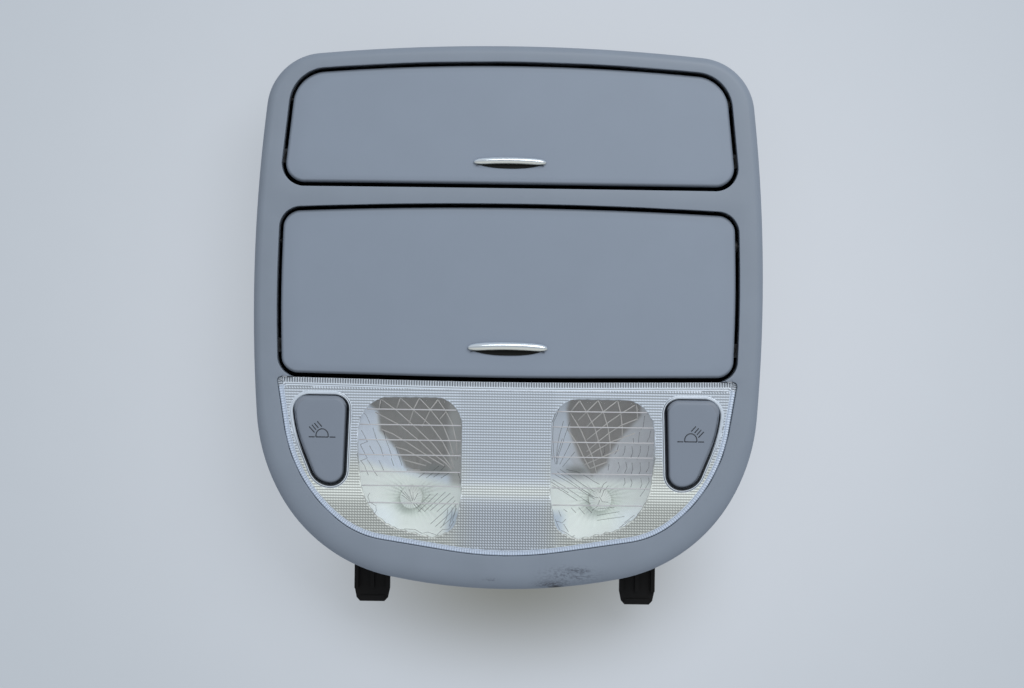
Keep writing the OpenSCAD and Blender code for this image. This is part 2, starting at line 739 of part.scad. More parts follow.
// The tray behind a door: an open box with a lip that is an arc about the hinge, hinge arms, a
// toothed arm for the damper and a striker for the latch
module tray(bay) color(smoke + [0.06, 0.06, 0.06]) {
    h = hinge(bay);
    top = floor_at(bay);
    half = tray_half(bay);
    r = lip_r(bay);
    low = lip_z(bay);
    back_y = h[0] - tray_back;
    plate_end = h[0] + hinge_boss_r + 1.2;
    side = side_at(bay, h[0]);
    difference() {
        union() {
            difference() {
                along_x(-half, half) tray_side(h, top, back_y, r, low);
                along_x(-half + tray_wall, half - tray_wall)
                    tray_side(h, top - tray_wall, back_y - tray_wall, r - tray_wall, low - 2 * latch_h);
            }
            box([-half, back_y - lap, top - tray_wall], [half, plate_end, top]);
            both_sides() {
                along_x(half - tray_wall, half) polygon([[back_y - lap, top - lap / 2],
                    [plate_end, top - lap / 2],
                    [h[0] + hinge_boss_r, h[1] - hinge_boss_r],
                    [h[0] - hinge_boss_r, h[1] - hinge_boss_r],
                    [back_y - lap, h[1] - tray_back - 2]]);
            }
            rod_x(half - tray_wall, side - door_gap / 2 + 0.2, h[0], h[1], hinge_boss_r);
            rod_x(-half - left_boss_l(bay), -half + tray_wall, h[0], h[1], hinge_boss_r);
            toothed_arm(bay);
            striker(bay);
            // Lug that the spring's leg pushes
            box([-half - left_boss_l(bay) - 2.5, h[0] - tray_back - 3, h[1] - spring_coil_r + wire_r + gap],
                [-half + lap / 2, h[0] - tray_back - 0.4, h[1] + 1.6]);
        }
        rod_x(half - tray_wall - lap, side + lap, h[0], h[1], pin_r + pin_clearance);
        rod_x(-half - left_boss_l(bay) - lap, -half + tray_wall + lap, h[0], h[1], pin_r + pin_clearance);
        both_sides() for (y = tray_screws_y(bay))
            translate([tray_screw_x, y, top - tray_wall - lap]) cylinder(h = tray_wall + 2 * lap, r = tray_screw_r + 0.2);
    }
}

module tray_side(h, top, back_y, r, low) {
    intersection() {
        translate(h) circle(r = r, $fn = 160);
        polygon([[back_y, top], [h[0] - r - 5, top], [h[0] - r - 5, low], [back_y - 4, low + tray_rise],
            [back_y, low + tray_rise + 4]]);
    }
}

// Flank of an involute tooth: half the tooth's angle at a radius
function involute(a) = tan(a) * 180 / PI - a;
function tooth_half(teeth, r) =
    let (pitch_r = teeth * tooth_module / 2, base_r = pitch_r * cos(20))
    90 / teeth - 0.06 / pitch_r * 180 / PI + involute(20) - involute(acos(min(1, base_r / r)));

// Points of one gear tooth, root to tip and back, about an angle
function tooth(teeth, mid_a) =
    let (
        pitch_r = teeth * tooth_module / 2,
        base_r = pitch_r * cos(20),
        root = pitch_r - 1.05 * tooth_module,
        tip = pitch_r + 0.7 * tooth_module,
        start = max(root, base_r),
        rs = [start, pitch_r, (pitch_r + tip) / 2, tip]
    )
    concat(
        [[root, mid_a - tooth_half(teeth, start)]],
        [for (r = rs) [r, mid_a - tooth_half(teeth, r)]],
        [for (i = [3 : -1 : 0]) [rs[i], mid_a + tooth_half(teeth, rs[i])]],
        [[root, mid_a + tooth_half(teeth, start)]]
    );

function polar(ps) = [for (p = ps) p[0] * [cos(p[1]), sin(p[1])]];

// The pie-shaped arm on the right of a tray, with teeth about the hinge
module toothed_arm(bay) {
    h = hinge(bay);
    teeth = arm_teeth(bay);
    pitch = 360 / teeth;
    // The damper lies in this direction, seen with the console's length to the right
    towards = 270 - damper_angle;
    count = ceil((door_opens + 14) / pitch);
    half = tray_half(bay);
    root = (teeth / 2 - 1.05) * tooth_module;
    along_x(half - 0.5, half + tooth_face) translate(h) {
        for (k = [-1 : count - 2]) polygon(concat([[0, 0]], polar(tooth(teeth, towards + (k + 0.5) * pitch))));
        polygon(concat([[0, 0]], polar([for (k = [-1 : 0.5 : count - 1]) [root, towards + k * pitch]])));
    }
}

// The tongue under the lip that goes into the latch
module striker(bay) {
    y = striker_y(bay);
    low = lip_z(bay);
    w = striker_w / 2;
    box([-w, lip_y(bay) + striker_t / 5, low], [w, y + striker_t, low + 1.5 * striker_t]);
    box([-w, y, low - striker_l], [w, y + striker_t, low + lap]);
}

module latch_body(bay) color(smoke) {
    base = latch_base(bay);
    y = latch_y(bay);
    slide = 0.2;
    difference() {
        box([-latch_w / 2, y - latch_l / 2, base], [latch_w / 2, y + latch_l / 2, base + latch_h]);
        box([-fork_w / 2 - slide, y - fork_l / 2 - slide, base + latch_floor],
            [fork_w / 2 + slide, y + fork_l / 2 + slide, base + latch_h + lap]);
    }
}

// The sprung fork that the tongue stands in
module latch_slider(bay) color([0.85, 0.85, 0.82]) {
    base = latch_base(bay);
    y = latch_y(bay);
    top = base + latch_h - gap;
    slot = striker_w / 2 + gap + 0.1;
    difference() {
        box([-fork_w / 2, y - fork_l / 2, base + latch_floor + gap + latch_push], [fork_w / 2, y + fork_l / 2, top]);
        box([-slot, y - fork_l, lip_z(bay) - striker_l - gap - 0.1], [slot, y + fork_l, top + lap]);
    }
}

module hinge_pins(bay) color(steel) {
    h = hinge(bay);
    both_sides() rod_x(tray_half(bay) - tray_wall + 0.3, side_at(bay, h[0]) + return_wall + pin_boss,
        h[0], h[1], pin_r);
}

// A wire swept along points, with its ends closed
module wire(path, r, sides = 6) {
    n = len(path);
    function dir(i) = unit(path[min(n - 1, i + 1)] - path[max(0, i - 1)]);
    points = [for (i = [0 : n - 1])
        let (t = dir(i), ref = abs(t[0]) > 0.9 ? [0, 0, 1] : [1, 0, 0], u = unit(cross(t, ref)), v = cross(t, u))
        each [for (k = [0 : sides - 1]) path[i] + r * (cos(360 * k / sides) * u + sin(360 * k / sides) * v)]];
    faces = concat(
        [[for (k = [0 : sides - 1]) k]],
        [for (i = [0 : n - 2]) each [for (k = [0 : sides - 1]) each [
            [i * sides + k, (i + 1) * sides + k, i * sides + (k + 1) % sides],
            [i * sides + (k + 1) % sides, (i + 1) * sides + k, (i + 1) * sides + (k + 1) % sides]]]],
        [[for (k = [sides - 1 : -1 : 0]) (n - 1) * sides + k]]
    );
    polyhedron(points, faces, convexity = 10);
}

// The spring round the left hinge pin: a leg under the tray's lug, turns, a leg on the housing's rib
module door_spring(bay) color(steel) {
    h = hinge(bay);
    half = tray_half(bay);
    coil_r = spring_coil_r;
    pitch = 2 * wire_r + gap / 2;
    start = -half - left_boss_l(bay) - 2 * gap;
    steps = 8;
    count = round(spring_turns * steps);
    turns = [for (i = [0 : count])
        let (a = -90 - 360 * i / steps)
        [start - pitch * i / steps, h[0] + coil_r * cos(a), h[1] + coil_r * sin(a)]];
    last = turns[count];
    wire(concat(
        [[start + 0.2, h[0] - tray_back - 5, h[1] - coil_r], [start + 0.1, h[0] - tray_back + lap, h[1] - coil_r]],
        turns,
        [last + [-0.1, 0, -3], last + [-0.2, 0, -12]]
    ), wire_r);
}

module damper_body(bay) color(smoke) {
    d = damper_at(bay);
    x0 = tray_half(bay) + tooth_face + 0.5;
    x1 = damper_end(bay);
    difference() {
        union() {
            rod_x(x0, x1, d[0], d[1], damper_r);
            along_x(x1 - 1.6, x1) for (s = [-1, 1]) translate(d + [s * (damper_r + 1.5), 0]) circle(r = 2.6);
        }
        rod_x(x0 - lap, x1 - arbor_r, d[0], d[1], arbor_r + pin_clearance);
    }
}

module damper_gear(bay) color([0.86, 0.86, 0.84]) {
    d = damper_at(bay);
    half = tray_half(bay);
    towards = 90 - damper_angle;
    root = (pinion_teeth / 2 - 1.05) * tooth_module;
    along_x(half + 0.4, half + tooth_face) translate(d) {
        for (k = [0 : pinion_teeth - 1])
            polygon(concat([[0, 0]], polar(tooth(pinion_teeth, towards + k * 360 / pinion_teeth))));
        circle(r = root);
    }
    rod_x(half + tooth_face - 0.2, damper_end(bay) - arbor_r - gap, d[0], d[1], arbor_r);
}

// A housing behind a door: a deep well that continues the opening, with ears for its screws
module rear_housing(bay) color(smoke) {
    lp = bay_loop(bay);
    d = damper_at(bay);
    h = hinge(bay);
    base = latch_base(bay);
    end = damper_end(bay);
    ly = latch_y(bay);
    difference() {
        union() {
            difference() {
                prism(lp, opening_out + housing_wall, 0, seat_z);
                prism(lp, opening_out, housing_back, seat_z + 1);
            }
            both_sides() for (p = bay_posts[bay]) ear(p, side_at(bay, p[1]));
            // Flat pad for the damper
            intersection() {
                rod_x(end, end + 4, d[0], d[1], damper_r + 3.5);
                prism(lp, opening_out + housing_wall / 2, 0, seat_z);
            }
            // Rib for the spring's fixed leg
            box([-side_at(bay, h[0]) - 0.6, spring_leg_y(bay) + wire_r + fit, h[1] - 14],
                [-side_at(bay, h[0]) + 4.5, spring_leg_y(bay) + wire_r + 2, seat_z]);
            // Seat and end walls for the latch
            box([-latch_w / 2 - 2, ly - latch_l / 2 - 2, 0], [latch_w / 2 + 2, ly + latch_l / 2 + 2, base]);
            for (s = [-1, 1]) box([-6, ly + s * (latch_l / 2 + fit + 0.8) - 0.8, base - 0.5],
                [6, ly + s * (latch_l / 2 + fit + 0.8) + 0.8, base + 5]);
            if (bay == UPPER) both_sides() translate([roof_screw_x, roof_screw_y, 0])
                cylinder(h = housing_back + 2, r = roof_hole_r + 4);
        }
        both_sides() for (p = bay_posts[bay]) translate([p[0], p[1], seat_z - 10])
            cylinder(h = 20, r = screw_r + 0.3);
        if (bay == UPPER) both_sides() translate([roof_screw_x, roof_screw_y, -1])
            cylinder(h = housing_back + 4, r = roof_hole_r);
    }
}

function spring_leg_y(bay) = hinge(bay)[0] + spring_coil_r;

// A screw ear beside a housing, cut to clear the bezel's outer wall
module ear(p, side) {
    intersection() {
        union() {
            translate([p[0], p[1], seat_z - ear_t]) cylinder(h = ear_t - fit, r = post_r);
            box([side + 0.4, p[1] - post_r, seat_z - ear_t], [p[0], p[1] + post_r, seat_z - fit]);
        }
        prism(loop(bezel_half), -bezel_wall - gap, seat_z - ear_t - 1, seat_z);
    }
}

// A pan-head screw pointing up, its head under a plane
module screw(p, under, length, r = screw_r, head = screw_head_r) {
    translate([p[0], p[1], under]) cylinder(h = length, r = r);
    translate([p[0], p[1], under - head_h]) cylinder(h = head_h, r = head);
}

module housing_screws() color(steel) {
    for (bay = [UPPER, LOWER]) both_sides() for (p = bay_posts[bay]) screw(p, seat_z - ear_t, post_screw_l);
}

module lamp_screws() color(steel) {
    both_sides() for (p = lamp_posts) screw(p, seat_z - ear_t, post_screw_l);
}

module tray_screws(bay) color(steel) {
    both_sides() for (y = tray_screws_y(bay))
        screw([tray_screw_x, y], floor_at(bay) - tray_wall, tray_wall + 2 * tray_screw_r,
            tray_screw_r, tray_screw_head);
}

// Grips: a bright bar with a domed top edge and a hollowed thumb face under it
function grip_y(bay) = low_y(bay) + pick(bay, upper_grip_up, lower_grip_up);
function grip_half(bay) = pick(bay, upper_grip_l, lower_grip_l) / 2;
function grip_w(bay) = pick(bay, upper_grip_w, lower_grip_w);
function grip_peg_x(bay) = grip_half(bay) * 0.55;

module grip(bay) color([0.86, 0.87, 0.88]) {
    half = grip_half(bay);
    w = grip_w(bay);
    y = grip_y(bay);
    base = crown([0, y]) + 0.08;
    steps = 14;
    // Section points: place across the bar as a share of its width, height over the door
    rise = grip_rise;
    points = [for (i = [0 : steps])
        let (t = -1 + 2 * i / steps, full = sqrt(max(0.02, 1 - pow(abs(t), 2.4))), x = half * t)
        each [
            [x, y - w * 0.58 * full, base],
            [x, y - w * 0.50 * full, base + rise * 0.16 * full],
            [x, y - w * 0.20 * full, base + rise * 0.42 * full],
            [x, y - w * 0.02 * full, base + rise * (0.22 + 0.62 * full)],
            [x, y + w * 0.12, base + rise * (0.28 + 0.72 * full)],
            [x, y + w * 0.24, base + rise * (0.25 + 0.65 * full)],
            [x, y + w * 0.30 + w * 0.10 * full, base + rise * 0.55 * full],
            [x, y + w * 0.30 + w * 0.12 * full, base]
        ]];
    rail(points, 8);
    both_sides() translate([grip_peg_x(bay), y, base - door_wall - 1.2]) cylinder(h = door_wall + 1.6, r = grip_peg_r);
}

module lens() color([0.86, 0.88, 0.9, 0.6]) {
    lp = loop(lens_half());
    low = lens_sunk + lens_wall;
    flange = bezel_wall + underside_rise + gap;
    flange_top_y = lens_top_y() - lens_ledge_w - return_wall;
    difference() {
        union() {
            under_crown(lens_sunk, low) polygon(outline(lp));
            under_crown(flange, flange + 1.5) intersection() {
                difference() {
                    polygon(outline(lp, lens_flange));
                    polygon(outline(lp, -1.2));
                }
                translate([-half_w, lens_heel_y - 10]) square([console_w, flange_top_y - lens_heel_y + 10]);
            }
            both_sides() under_crown(0.5, lens_sunk + 0.6) polygon(outline(key_loop, key_gap + collar_w));
        }
        both_sides() prism(key_loop, key_gap, rim_z, face_z + 2);
    }
}

// A flat shape made a plate that follows the crown, between two drops under it
module under_crown(drop, low) {
    difference() {
        intersection() {
            translate([0, 0, rim_z]) linear_extrude(face_z - rim_z + 1) children();
            crown_block(drop);
        }
        crown_block(low);
    }
}

// A block up to a drop under the crown, wide enough for the lens
module crown_block(drop) {
    x_steps = 5;
    x_span = half_w / x_steps;
    y_step = (lens_top_y() - lens_heel_y + 12) / 3;
    ys = [for (j = [0 : 3]) lens_heel_y - 6 + j * y_step];
    rail([for (i = [-x_steps : x_steps])
        let (x = i * x_span)
        each concat(
            [[x, ys[3], crown([x, ys[3]]) - drop], [x, ys[3], rim_z - 2], [x, ys[0], rim_z - 2]],
            [for (j = [0 : 2]) [x, ys[j], crown([x, ys[j]]) - drop]]
        )], 6);
}

function lamp_loop() = loop(lens_half());

module lamp_housing() color(smoke - [0.06, 0.06, 0.06]) {
    lp = lamp_loop();
    rim = reflector_rim - reflector_wall + gap / 2;
    top_y = lens_top_y() - lower_bow / 2 - return_wall - gap;
    difference() {
        union() {
            intersection() {
                difference() {
                    prism(lp, lamp_out, lamp_back_z, rim);
                    prism(lp, lamp_out - lamp_wall, lamp_back_z + 2, rim + 1);
                }
                box([-half_w, lens_heel_y - 10, 0], [half_w, top_y, rim + 2]);
            }
            box([-across(outline(lp, 0), top_y - 4), top_y - lamp_wall, lamp_back_z],
                [across(outline(lp, 0), top_y - 4), top_y, rim - 3]);
            both_sides() {
                for (p = lamp_posts) lamp_ear(p);
                hook();
            }
            for (p = board_posts) translate([p[0], p[1], lamp_back_z + lap])
                cylinder(h = board_z - lamp_back_z - lap, r = ear_r);
        }
        both_sides() {
            for (p = lamp_posts) translate([p[0], p[1], seat_z - 10]) cylinder(h = 20, r = screw_r + 0.3);
            translate([bulb_x, bulb_y, lamp_back_z - lap]) cylinder(h = 4 * lap, r = holder_r + 2);
        }
        for (p = board_posts) translate([p[0], p[1], lamp_back_z + 3]) cylinder(h = board_z, r = board_screw_r + fit);
        box([-header_w / 2 - gap, header_y - header_l / 2 - gap, lamp_back_z - lap],
            [header_w / 2 + gap, header_y + header_l / 2 + gap, lamp_back_z + 3]);
    }
}

// A screw ear of the lamp housing: a bar with a round end that points outward
module lamp_ear(p) {
    inward = unit([0, lens_heel_y * 0.6] - p);
    translate([p[0], p[1], seat_z - ear_t]) {
        cylinder(h = ear_t - fit, r = ear_r);
        rotate([0, 0, atan2(inward[1], inward[0])]) box([0, -ear_r + 0.2, 0], [6.6, ear_r - 0.2, ear_t - fit]);
    }
}

// A hook tongue that goes over the edge of the roof opening: web, side flanges, rib and end lip
module hook() {
    root_y = -across_low(hook_x) + lap;
    end = hook_end_y;
    w = hook_w / 2;
    side = w - hook_flange / 2;
    bar_y = end + hook_lip + 3.4;
    translate([hook_x, 0, hook_z]) {
        linear_extrude(hook_t) polygon([[-w, root_y], [-w, bar_y], [-side, end + hook_lip - lap],
            [-w + hook_round, end], [w - hook_round, end], [side, end + hook_lip - lap], [w, bar_y], [w, root_y]]);
        for (s = [-1, 0, 1]) box([s * side - hook_flange / 2, bar_y, 0],
            [s * side + hook_flange / 2, root_y, hook_t + (s == 0 ? hook_flange : hook_flange + 0.6)]);
        box([-w + hook_round, end, -hook_lip + 0.4], [w - hook_round, end + hook_lip, hook_t + 0.6]);
    }
}

// How far the lamp housing reaches down the console at a distance from its middle
function across_low(x) =
    let (points = outline(lamp_loop(), lamp_out), n = len(points))
    -min([for (i = [0 : n - 1])
        let (a = points[i], b = points[(i + 1) % n])
        if ((a[0] - x) * (b[0] - x) <= 0 && a[0] != b[0] && a[1] < -60)
            a[1] + (b[1] - a[1]) * (x - a[0]) / (b[0] - a[0])]);

// A reflector bowl: heights of its rings are shares of its depth over the board
reflector_rim = face_z - lens_sunk - lens_wall - 3.6;
reflector_low = board_z + board_t + 3.4;
module reflector() color([0.9, 0.91, 0.92]) {
    t = reflector_wall;
    bowl = reflector_low + t;
    depth = reflector_rim - bowl;
    difference() {
        reflector_skin(window_loop, [
            [0.30, 0, bowl + 0.02 * depth],
            [0.52, 0, bowl + 0.17 * depth],
            [0.78, 0, bowl + 0.53 * depth],
            [1, gap, reflector_rim],
            [1, t + gap, reflector_rim],
            [1, t + gap, reflector_rim - t],
            [0.78, t, bowl + 0.5 * depth],
            [0.52, t, bowl + 0.12 * depth],
            [0.30, t, reflector_low]
        ], [bulb_x, bulb_y], bowl, reflector_low);
        translate([bulb_x, bulb_y, reflector_low - 2 * t]) cylinder(h = 6 * t, r = bulb_r + 2 * gap);
    }
}

// A bowl from its floor out and up through rings to the rim and back down outside
module reflector_skin(lp, specs, mid, over, under) {
    rings = [for (s = specs) [for (p = outline(lp, s[1]))
        let (q = mid + s[0] * (p - mid)) [q[0], q[1], s[2]]]];
    n = len(rings[0]);
    m = len(rings);
    points = concat([[mid[0], mid[1], over], [mid[0], mid[1], under]], [for (r = rings) each r]);
    faces = concat(
        [for (i = [0 : n - 1]) [0, 2 + (i + 1) % n, 2 + i]],
        [for (k = [0 : m - 2]) each band(2 + k * n, 2 + (k + 1) * n, n)],
        [for (i = [0 : n - 1]) [1, 2 + (m - 1) * n + i, 2 + (m - 1) * n + (i + 1) % n]]
    );
    polyhedron(points, faces, convexity = 8);
}

// A wedge-base bulb: flat base, short neck, round glass
bulb_foot = board_z - 4;
module bulb() color([0.95, 0.95, 0.9, 0.7]) translate([bulb_x, bulb_y, bulb_foot]) {
    box([-wedge_w / 2, -wedge_t / 2, 0], [wedge_w / 2, wedge_t / 2, wedge_h + 0.2]);
    translate([0, 0, wedge_h]) cylinder(h = neck_h, r1 = wedge_w * 0.39, r2 = bulb_r);
    translate([0, 0, wedge_h + neck_h]) cylinder(h = glass_h, r = bulb_r);
    translate([0, 0, wedge_h + neck_h + glass_h]) intersection() {
        sphere(r = bulb_r);
        cylinder(h = bulb_r + lap, r = bulb_r + lap);
    }
}

// A twist-lock holder through the board: body, flange under the board, grip bar
module bulb_holder() color([0.93, 0.92, 0.88]) translate([bulb_x, bulb_y, 0]) {
    flange_t = 2;
    difference() {
        union() {
            translate([0, 0, board_z - 6]) cylinder(h = board_t + 8.6, r = holder_r);
            translate([0, 0, board_z - flange_t - fit]) cylinder(h = flange_t, r = holder_r + 2.6);
            box([-holder_r - 0.6, -flange_t, board_z - 9.4], [holder_r + 0.6, flange_t, board_z - 5]);
        }
        box([-wedge_w / 2 - fit, -wedge_t / 2 - fit, bulb_foot - fit],
            [wedge_w / 2 + fit, wedge_t / 2 + fit, board_z + 10]);
        translate([0, 0, bulb_foot + wedge_h - 0.4]) cylinder(h = glass_h, r = bulb_r + 0.2);
    }
}

// Screw places of the board: above and below the middle, and under each key
board_posts = [[0, window_top_y - 8], [-key_in, key_low_y - 10], [key_in, key_low_y - 10], [0, window_tip_y + 2.5]];
module circuit_board() color([0.16, 0.36, 0.22]) {
    difference() {
        intersection() {
            prism(lamp_loop(), -2.4, board_z, board_z + board_t);
            box([-half_w, lens_heel_y - 10, 0], [half_w, lens_top_y() - lens_ledge_w, face_z]);
        }
        both_sides() translate([bulb_x, bulb_y, board_z - lap]) cylinder(h = 4 * lap, r = holder_r + 0.2);
        for (p = board_posts) translate([p[0], p[1], board_z - lap]) cylinder(h = 4 * lap, r = board_screw_r + gap);
    }
}

module board_screws() color(steel) {
    for (p = board_posts) {
        translate([p[0], p[1], lamp_back_z + 3.6]) cylinder(h = board_z + board_t - lamp_back_z - 3.6, r = board_screw_r);
        translate([p[0], p[1], board_z + board_t]) cylinder(h = head_h, r = board_screw_head);
    }
}

switch_top = board_z + board_t + switch_h;
module switch_body() color(smoke) {
    w = switch_w / 2;
    hole = plunger_w / 2 + gap / 2;
    difference() {
        box([key_mid[0] - w, switch_y - w, board_z + board_t], [key_mid[0] + w, switch_y + w, switch_top]);
        box([key_mid[0] - hole, switch_y - hole, switch_top - 0.9 * plunger_h],
            [key_mid[0] + hole, switch_y + hole, switch_top + lap]);
    }
}

module switch_plunger() color([0.9, 0.9, 0.88]) {
    w = plunger_w / 2;
    box([key_mid[0] - w, switch_y - w, switch_top - 0.9 * plunger_h + key_travel + gap],
        [key_mid[0] + w, switch_y + w, switch_top + plunger_h]);
}

// A push key: domed cap with a holding flange, and a stem down to its switch
module key() color(shell_grey - [0.02, 0.02, 0.02]) {
    flange_z = face_z - 10;
    skin(key_loop, key_mid, [
        [0.6, 0, 0.25],
        [1, -2, 0.3],
        [1, -0.9, 0.6],
        [1, -0.25, 1.3],
        [1, 0, 2.4],
        [1, 0, 0, flange_z],
        [1, 1.4, 0, flange_z],
        [1, 1.4, 0, flange_z - 1.5],
        [1, -1.6, 0, flange_z - 1.5],
        [1, -1.6, 3],
        [0.6, 0, 2.6]
    ], crown(key_mid) - 0.25, crown(key_mid) - 2.6);
    stem_z = switch_top + plunger_h;
    translate([key_mid[0], key_mid[1], stem_z]) cylinder(h = crown(key_mid) - 1.5 - stem_z, r = plunger_w * 0.6);
}

module connector_header() color(smoke) {
    w = header_w / 2;
    l = header_l / 2;
    hole = pin_w / 2 + 0.1;
    difference() {
        box([-w, header_y - l, lamp_back_z - 2], [w, header_y + l, board_z]);
        box([-w + header_wall, header_y - l + header_wall, lamp_back_z - 2 - lap],
            [w - header_wall, header_y + l - header_wall, board_z - 2]);
        for (x = pin_xs) box([x - hole, header_y - hole, board_z - 2 - lap], [x + hole, header_y + hole, board_z + lap]);
    }
}

pin_xs = [for (i = [-2.5 : 1 : 2.5]) i * pin_pitch];
module connector_pins() color([0.8, 0.72, 0.45]) {
    w = pin_w / 2;
    for (x = pin_xs) box([x - w, header_y - w, lamp_back_z + 1], [x + w, header_y + w, board_z]);
}

bezel();
door(UPPER);  // upper_door
tray(UPPER);  // upper_tray
grip(UPPER);  // upper_grip
rear_housing(UPPER);  // upper_housing
hinge_pins(UPPER);  // upper_hinge_pins
door_spring(UPPER);  // upper_door_spring
damper_body(UPPER);  // upper_damper_body
damper_gear(UPPER);  // upper_damper_gear
latch_body(UPPER);  // upper_latch_body
latch_slider(UPPER);  // upper_latch_slider
bump_stops(UPPER);  // upper_bump_stops
tray_screws(UPPER);  // upper_tray_screws
door(LOWER);  // lower_door
tray(LOWER);  // lower_tray
grip(LOWER);  // lower_grip
rear_housing(LOWER);  // lower_housing
hinge_pins(LOWER);  // lower_hinge_pins
door_spring(LOWER);  // lower_door_spring
damper_body(LOWER);  // lower_damper_body
damper_gear(LOWER);  // lower_damper_gear
latch_body(LOWER);  // lower_latch_body
latch_slider(LOWER);  // lower_latch_slider
bump_stops(LOWER);  // lower_bump_stops
tray_screws(LOWER);  // lower_tray_screws
lens();
lamp_housing();
mirror([1, 0, 0]) reflector();  // left_reflector
reflector();  // right_reflector
mirror([1, 0, 0]) bulb();  // left_bulb
bulb();  // right_bulb
mirror([1, 0, 0]) bulb_holder();  // left_bulb_holder
bulb_holder();  // right_bulb_holder
circuit_board();
mirror([1, 0, 0]) switch_body();  // left_switch_body
switch_body();  // right_switch_body
mirror([1, 0, 0]) switch_plunger();  // left_switch_plunger
switch_plunger();  // right_switch_plunger
mirror([1, 0, 0]) key();  // left_key
key();  // right_key
connector_header();
connector_pins();
housing_screws();
lamp_screws();
board_screws();
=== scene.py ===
# Roof console with two storage doors and a pair of map lamps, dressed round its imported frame.
# Lengths in the dictionaries are millimetres. The console lies on its back with its face up.
import json
import math

import bmesh
import bpy
import numpy as np
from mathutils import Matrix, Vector
from mathutils.geometry import delaunay_2d_cdt


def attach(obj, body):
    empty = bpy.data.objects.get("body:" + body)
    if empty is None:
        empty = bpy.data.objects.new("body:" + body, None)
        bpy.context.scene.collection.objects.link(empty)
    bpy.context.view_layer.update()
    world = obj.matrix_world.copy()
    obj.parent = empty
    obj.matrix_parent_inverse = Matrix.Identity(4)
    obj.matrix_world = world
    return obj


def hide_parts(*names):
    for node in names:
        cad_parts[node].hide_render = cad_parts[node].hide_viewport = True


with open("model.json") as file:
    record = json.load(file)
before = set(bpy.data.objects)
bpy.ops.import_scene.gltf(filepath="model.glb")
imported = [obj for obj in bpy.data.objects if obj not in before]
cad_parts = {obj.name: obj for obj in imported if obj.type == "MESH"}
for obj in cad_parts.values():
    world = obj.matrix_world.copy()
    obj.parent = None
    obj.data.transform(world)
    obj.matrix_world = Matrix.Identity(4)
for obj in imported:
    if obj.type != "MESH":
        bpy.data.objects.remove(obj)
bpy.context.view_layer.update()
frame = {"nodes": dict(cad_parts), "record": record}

mm = 0.001

# ---- camera, placed first: straight above, turned a little as the photograph is
cameraSet = dict(
    aim=(1.9, -8.4),      # where the middle of the picture falls on the face
    faceHeight=50,
    distance=850,         # from the face
    millimetresPerPixel=0.44,
    roll=0.77,            # degrees; the console leans clockwise in the picture
    imageWidth=1024,
    sensorWidth=36,
    clip=(0.02, 20),      # metres
)


def addObject(data):
    made = bpy.data.objects.new(data.name, data)
    bpy.context.scene.collection.objects.link(made)
    return made


def makeCamera(s):
    # The lens is set so that one picture pixel spans millimetresPerPixel at the face
    data = bpy.data.cameras.new("photoCamera")
    cam = addObject(data)
    data.sensor_width = s["sensorWidth"]
    data.lens = s["sensorWidth"] * s["distance"] / (s["imageWidth"] * s["millimetresPerPixel"])
    cam.location = Vector((*s["aim"], s["faceHeight"] + s["distance"])) * mm
    cam.rotation_euler = (0, 0, math.radians(s["roll"]))
    data.clip_start, data.clip_end = s["clip"]
    bpy.context.scene.camera = cam


makeCamera(cameraSet)
print("camera placed")

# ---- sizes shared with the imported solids. A corner is x, y and how far its rounding reaches
# along its sides; a half runs from the top down, and None leaves the bend to its neighbours
console = dict(
    faceZ=50, rimZ=34, seatZ=36, crownAcross=2500, crownAlong=3000,
    edgeRound=4, edgeDrop=4.8, edgePoints=12, openingOut=1.0, lensGap=0.3, wallFoot=1,
    faceSpacing=7.0, thickness=0.5, between=5,
    heelSlope=1, heelFrom=-20, heelLength=70,
    half=[(0, 127.6, None), (105.9, 117.7, 20.8), (115.7, 26, None),
          (109.5, -60, 19.25), (83.4, -105.5, 33), (0, -122.3, None)],
)
upperDoor = dict(
    half=[(0, 118.7, None), (95.8, 110.8, 13.3), (101.0, 61.05, 10.3), (0, 61.05, 1)],
    skirtZ=43.41, body="upper_bin",
)
lowerDoor = dict(
    half=[(0, 54.6, None), (100.5, 50, 8.2), (101.6, 11.6, 20), (100.5, -23.1, 8), (0, -24.6, 40)],
    skirtZ=45.01, body="lower_bin",
)
lensShape = dict(
    half=[(0, -25.6, 40), (101.7, -24.1, 2.1), (94.15, -71.3, 25.78), (65.3, -93.8, 10.6),
          (0, -103.85, 24.8)],
    sunk=1.2, keyGap=0.8, collarWidth=1.4,
)
windowCorners = [
    (19.6, -32.1, 13), (19.8, -77, 6), (22.3, -90.5, 4), (31.5, -94.6, 3.5),
    (53.5, -89.3, 7.5), (63.5, -77, 8), (65.7, -56, 9.3), (64.9, -32.2, 14.3),
]
keyCorners = [
    (70.4, -32.5, 5.8), (71.7, -71, 5.8), (83.3, -71, 5.8), (93.0, -47.1, 7.2), (94.4, -32.5, 7.2),
]
skin = dict(
    lift=0.06,         # how far the dressed skins stand over the solids' flat facets
    out=0.02,          # and how far beside them
    openingRound=0.3,  # the small rounding of each opening's edge
    openingIn=0.12,    # how far each opening's wall stands in from the solid's
    bendGap=0.2,       # the least straight piece that a bend left open keeps beside it
)
sides = ((-1, "left"), (1, "right"))
leastTurn = 0.5        # degrees; a flatter corner stays sharp
longestChord = 9
leastBend = 0.5        # what an inset leaves of a bend
samePoint = 1e-4
chunk = 4000           # points measured at a time, to spare memory


def crown(x, y):
    # The face is a shallow dome: its height falls with x squared and y squared
    s = console
    return s["faceZ"] - x * x / (2 * s["crownAcross"]) - y * y / (2 * s["crownAlong"])


def crownLess(drop, lift=skin["lift"]):
    return lambda x, y: crown(x, y) - drop + lift


def lensTop(x, y):
    return crown(x, y) - lensShape["sunk"]


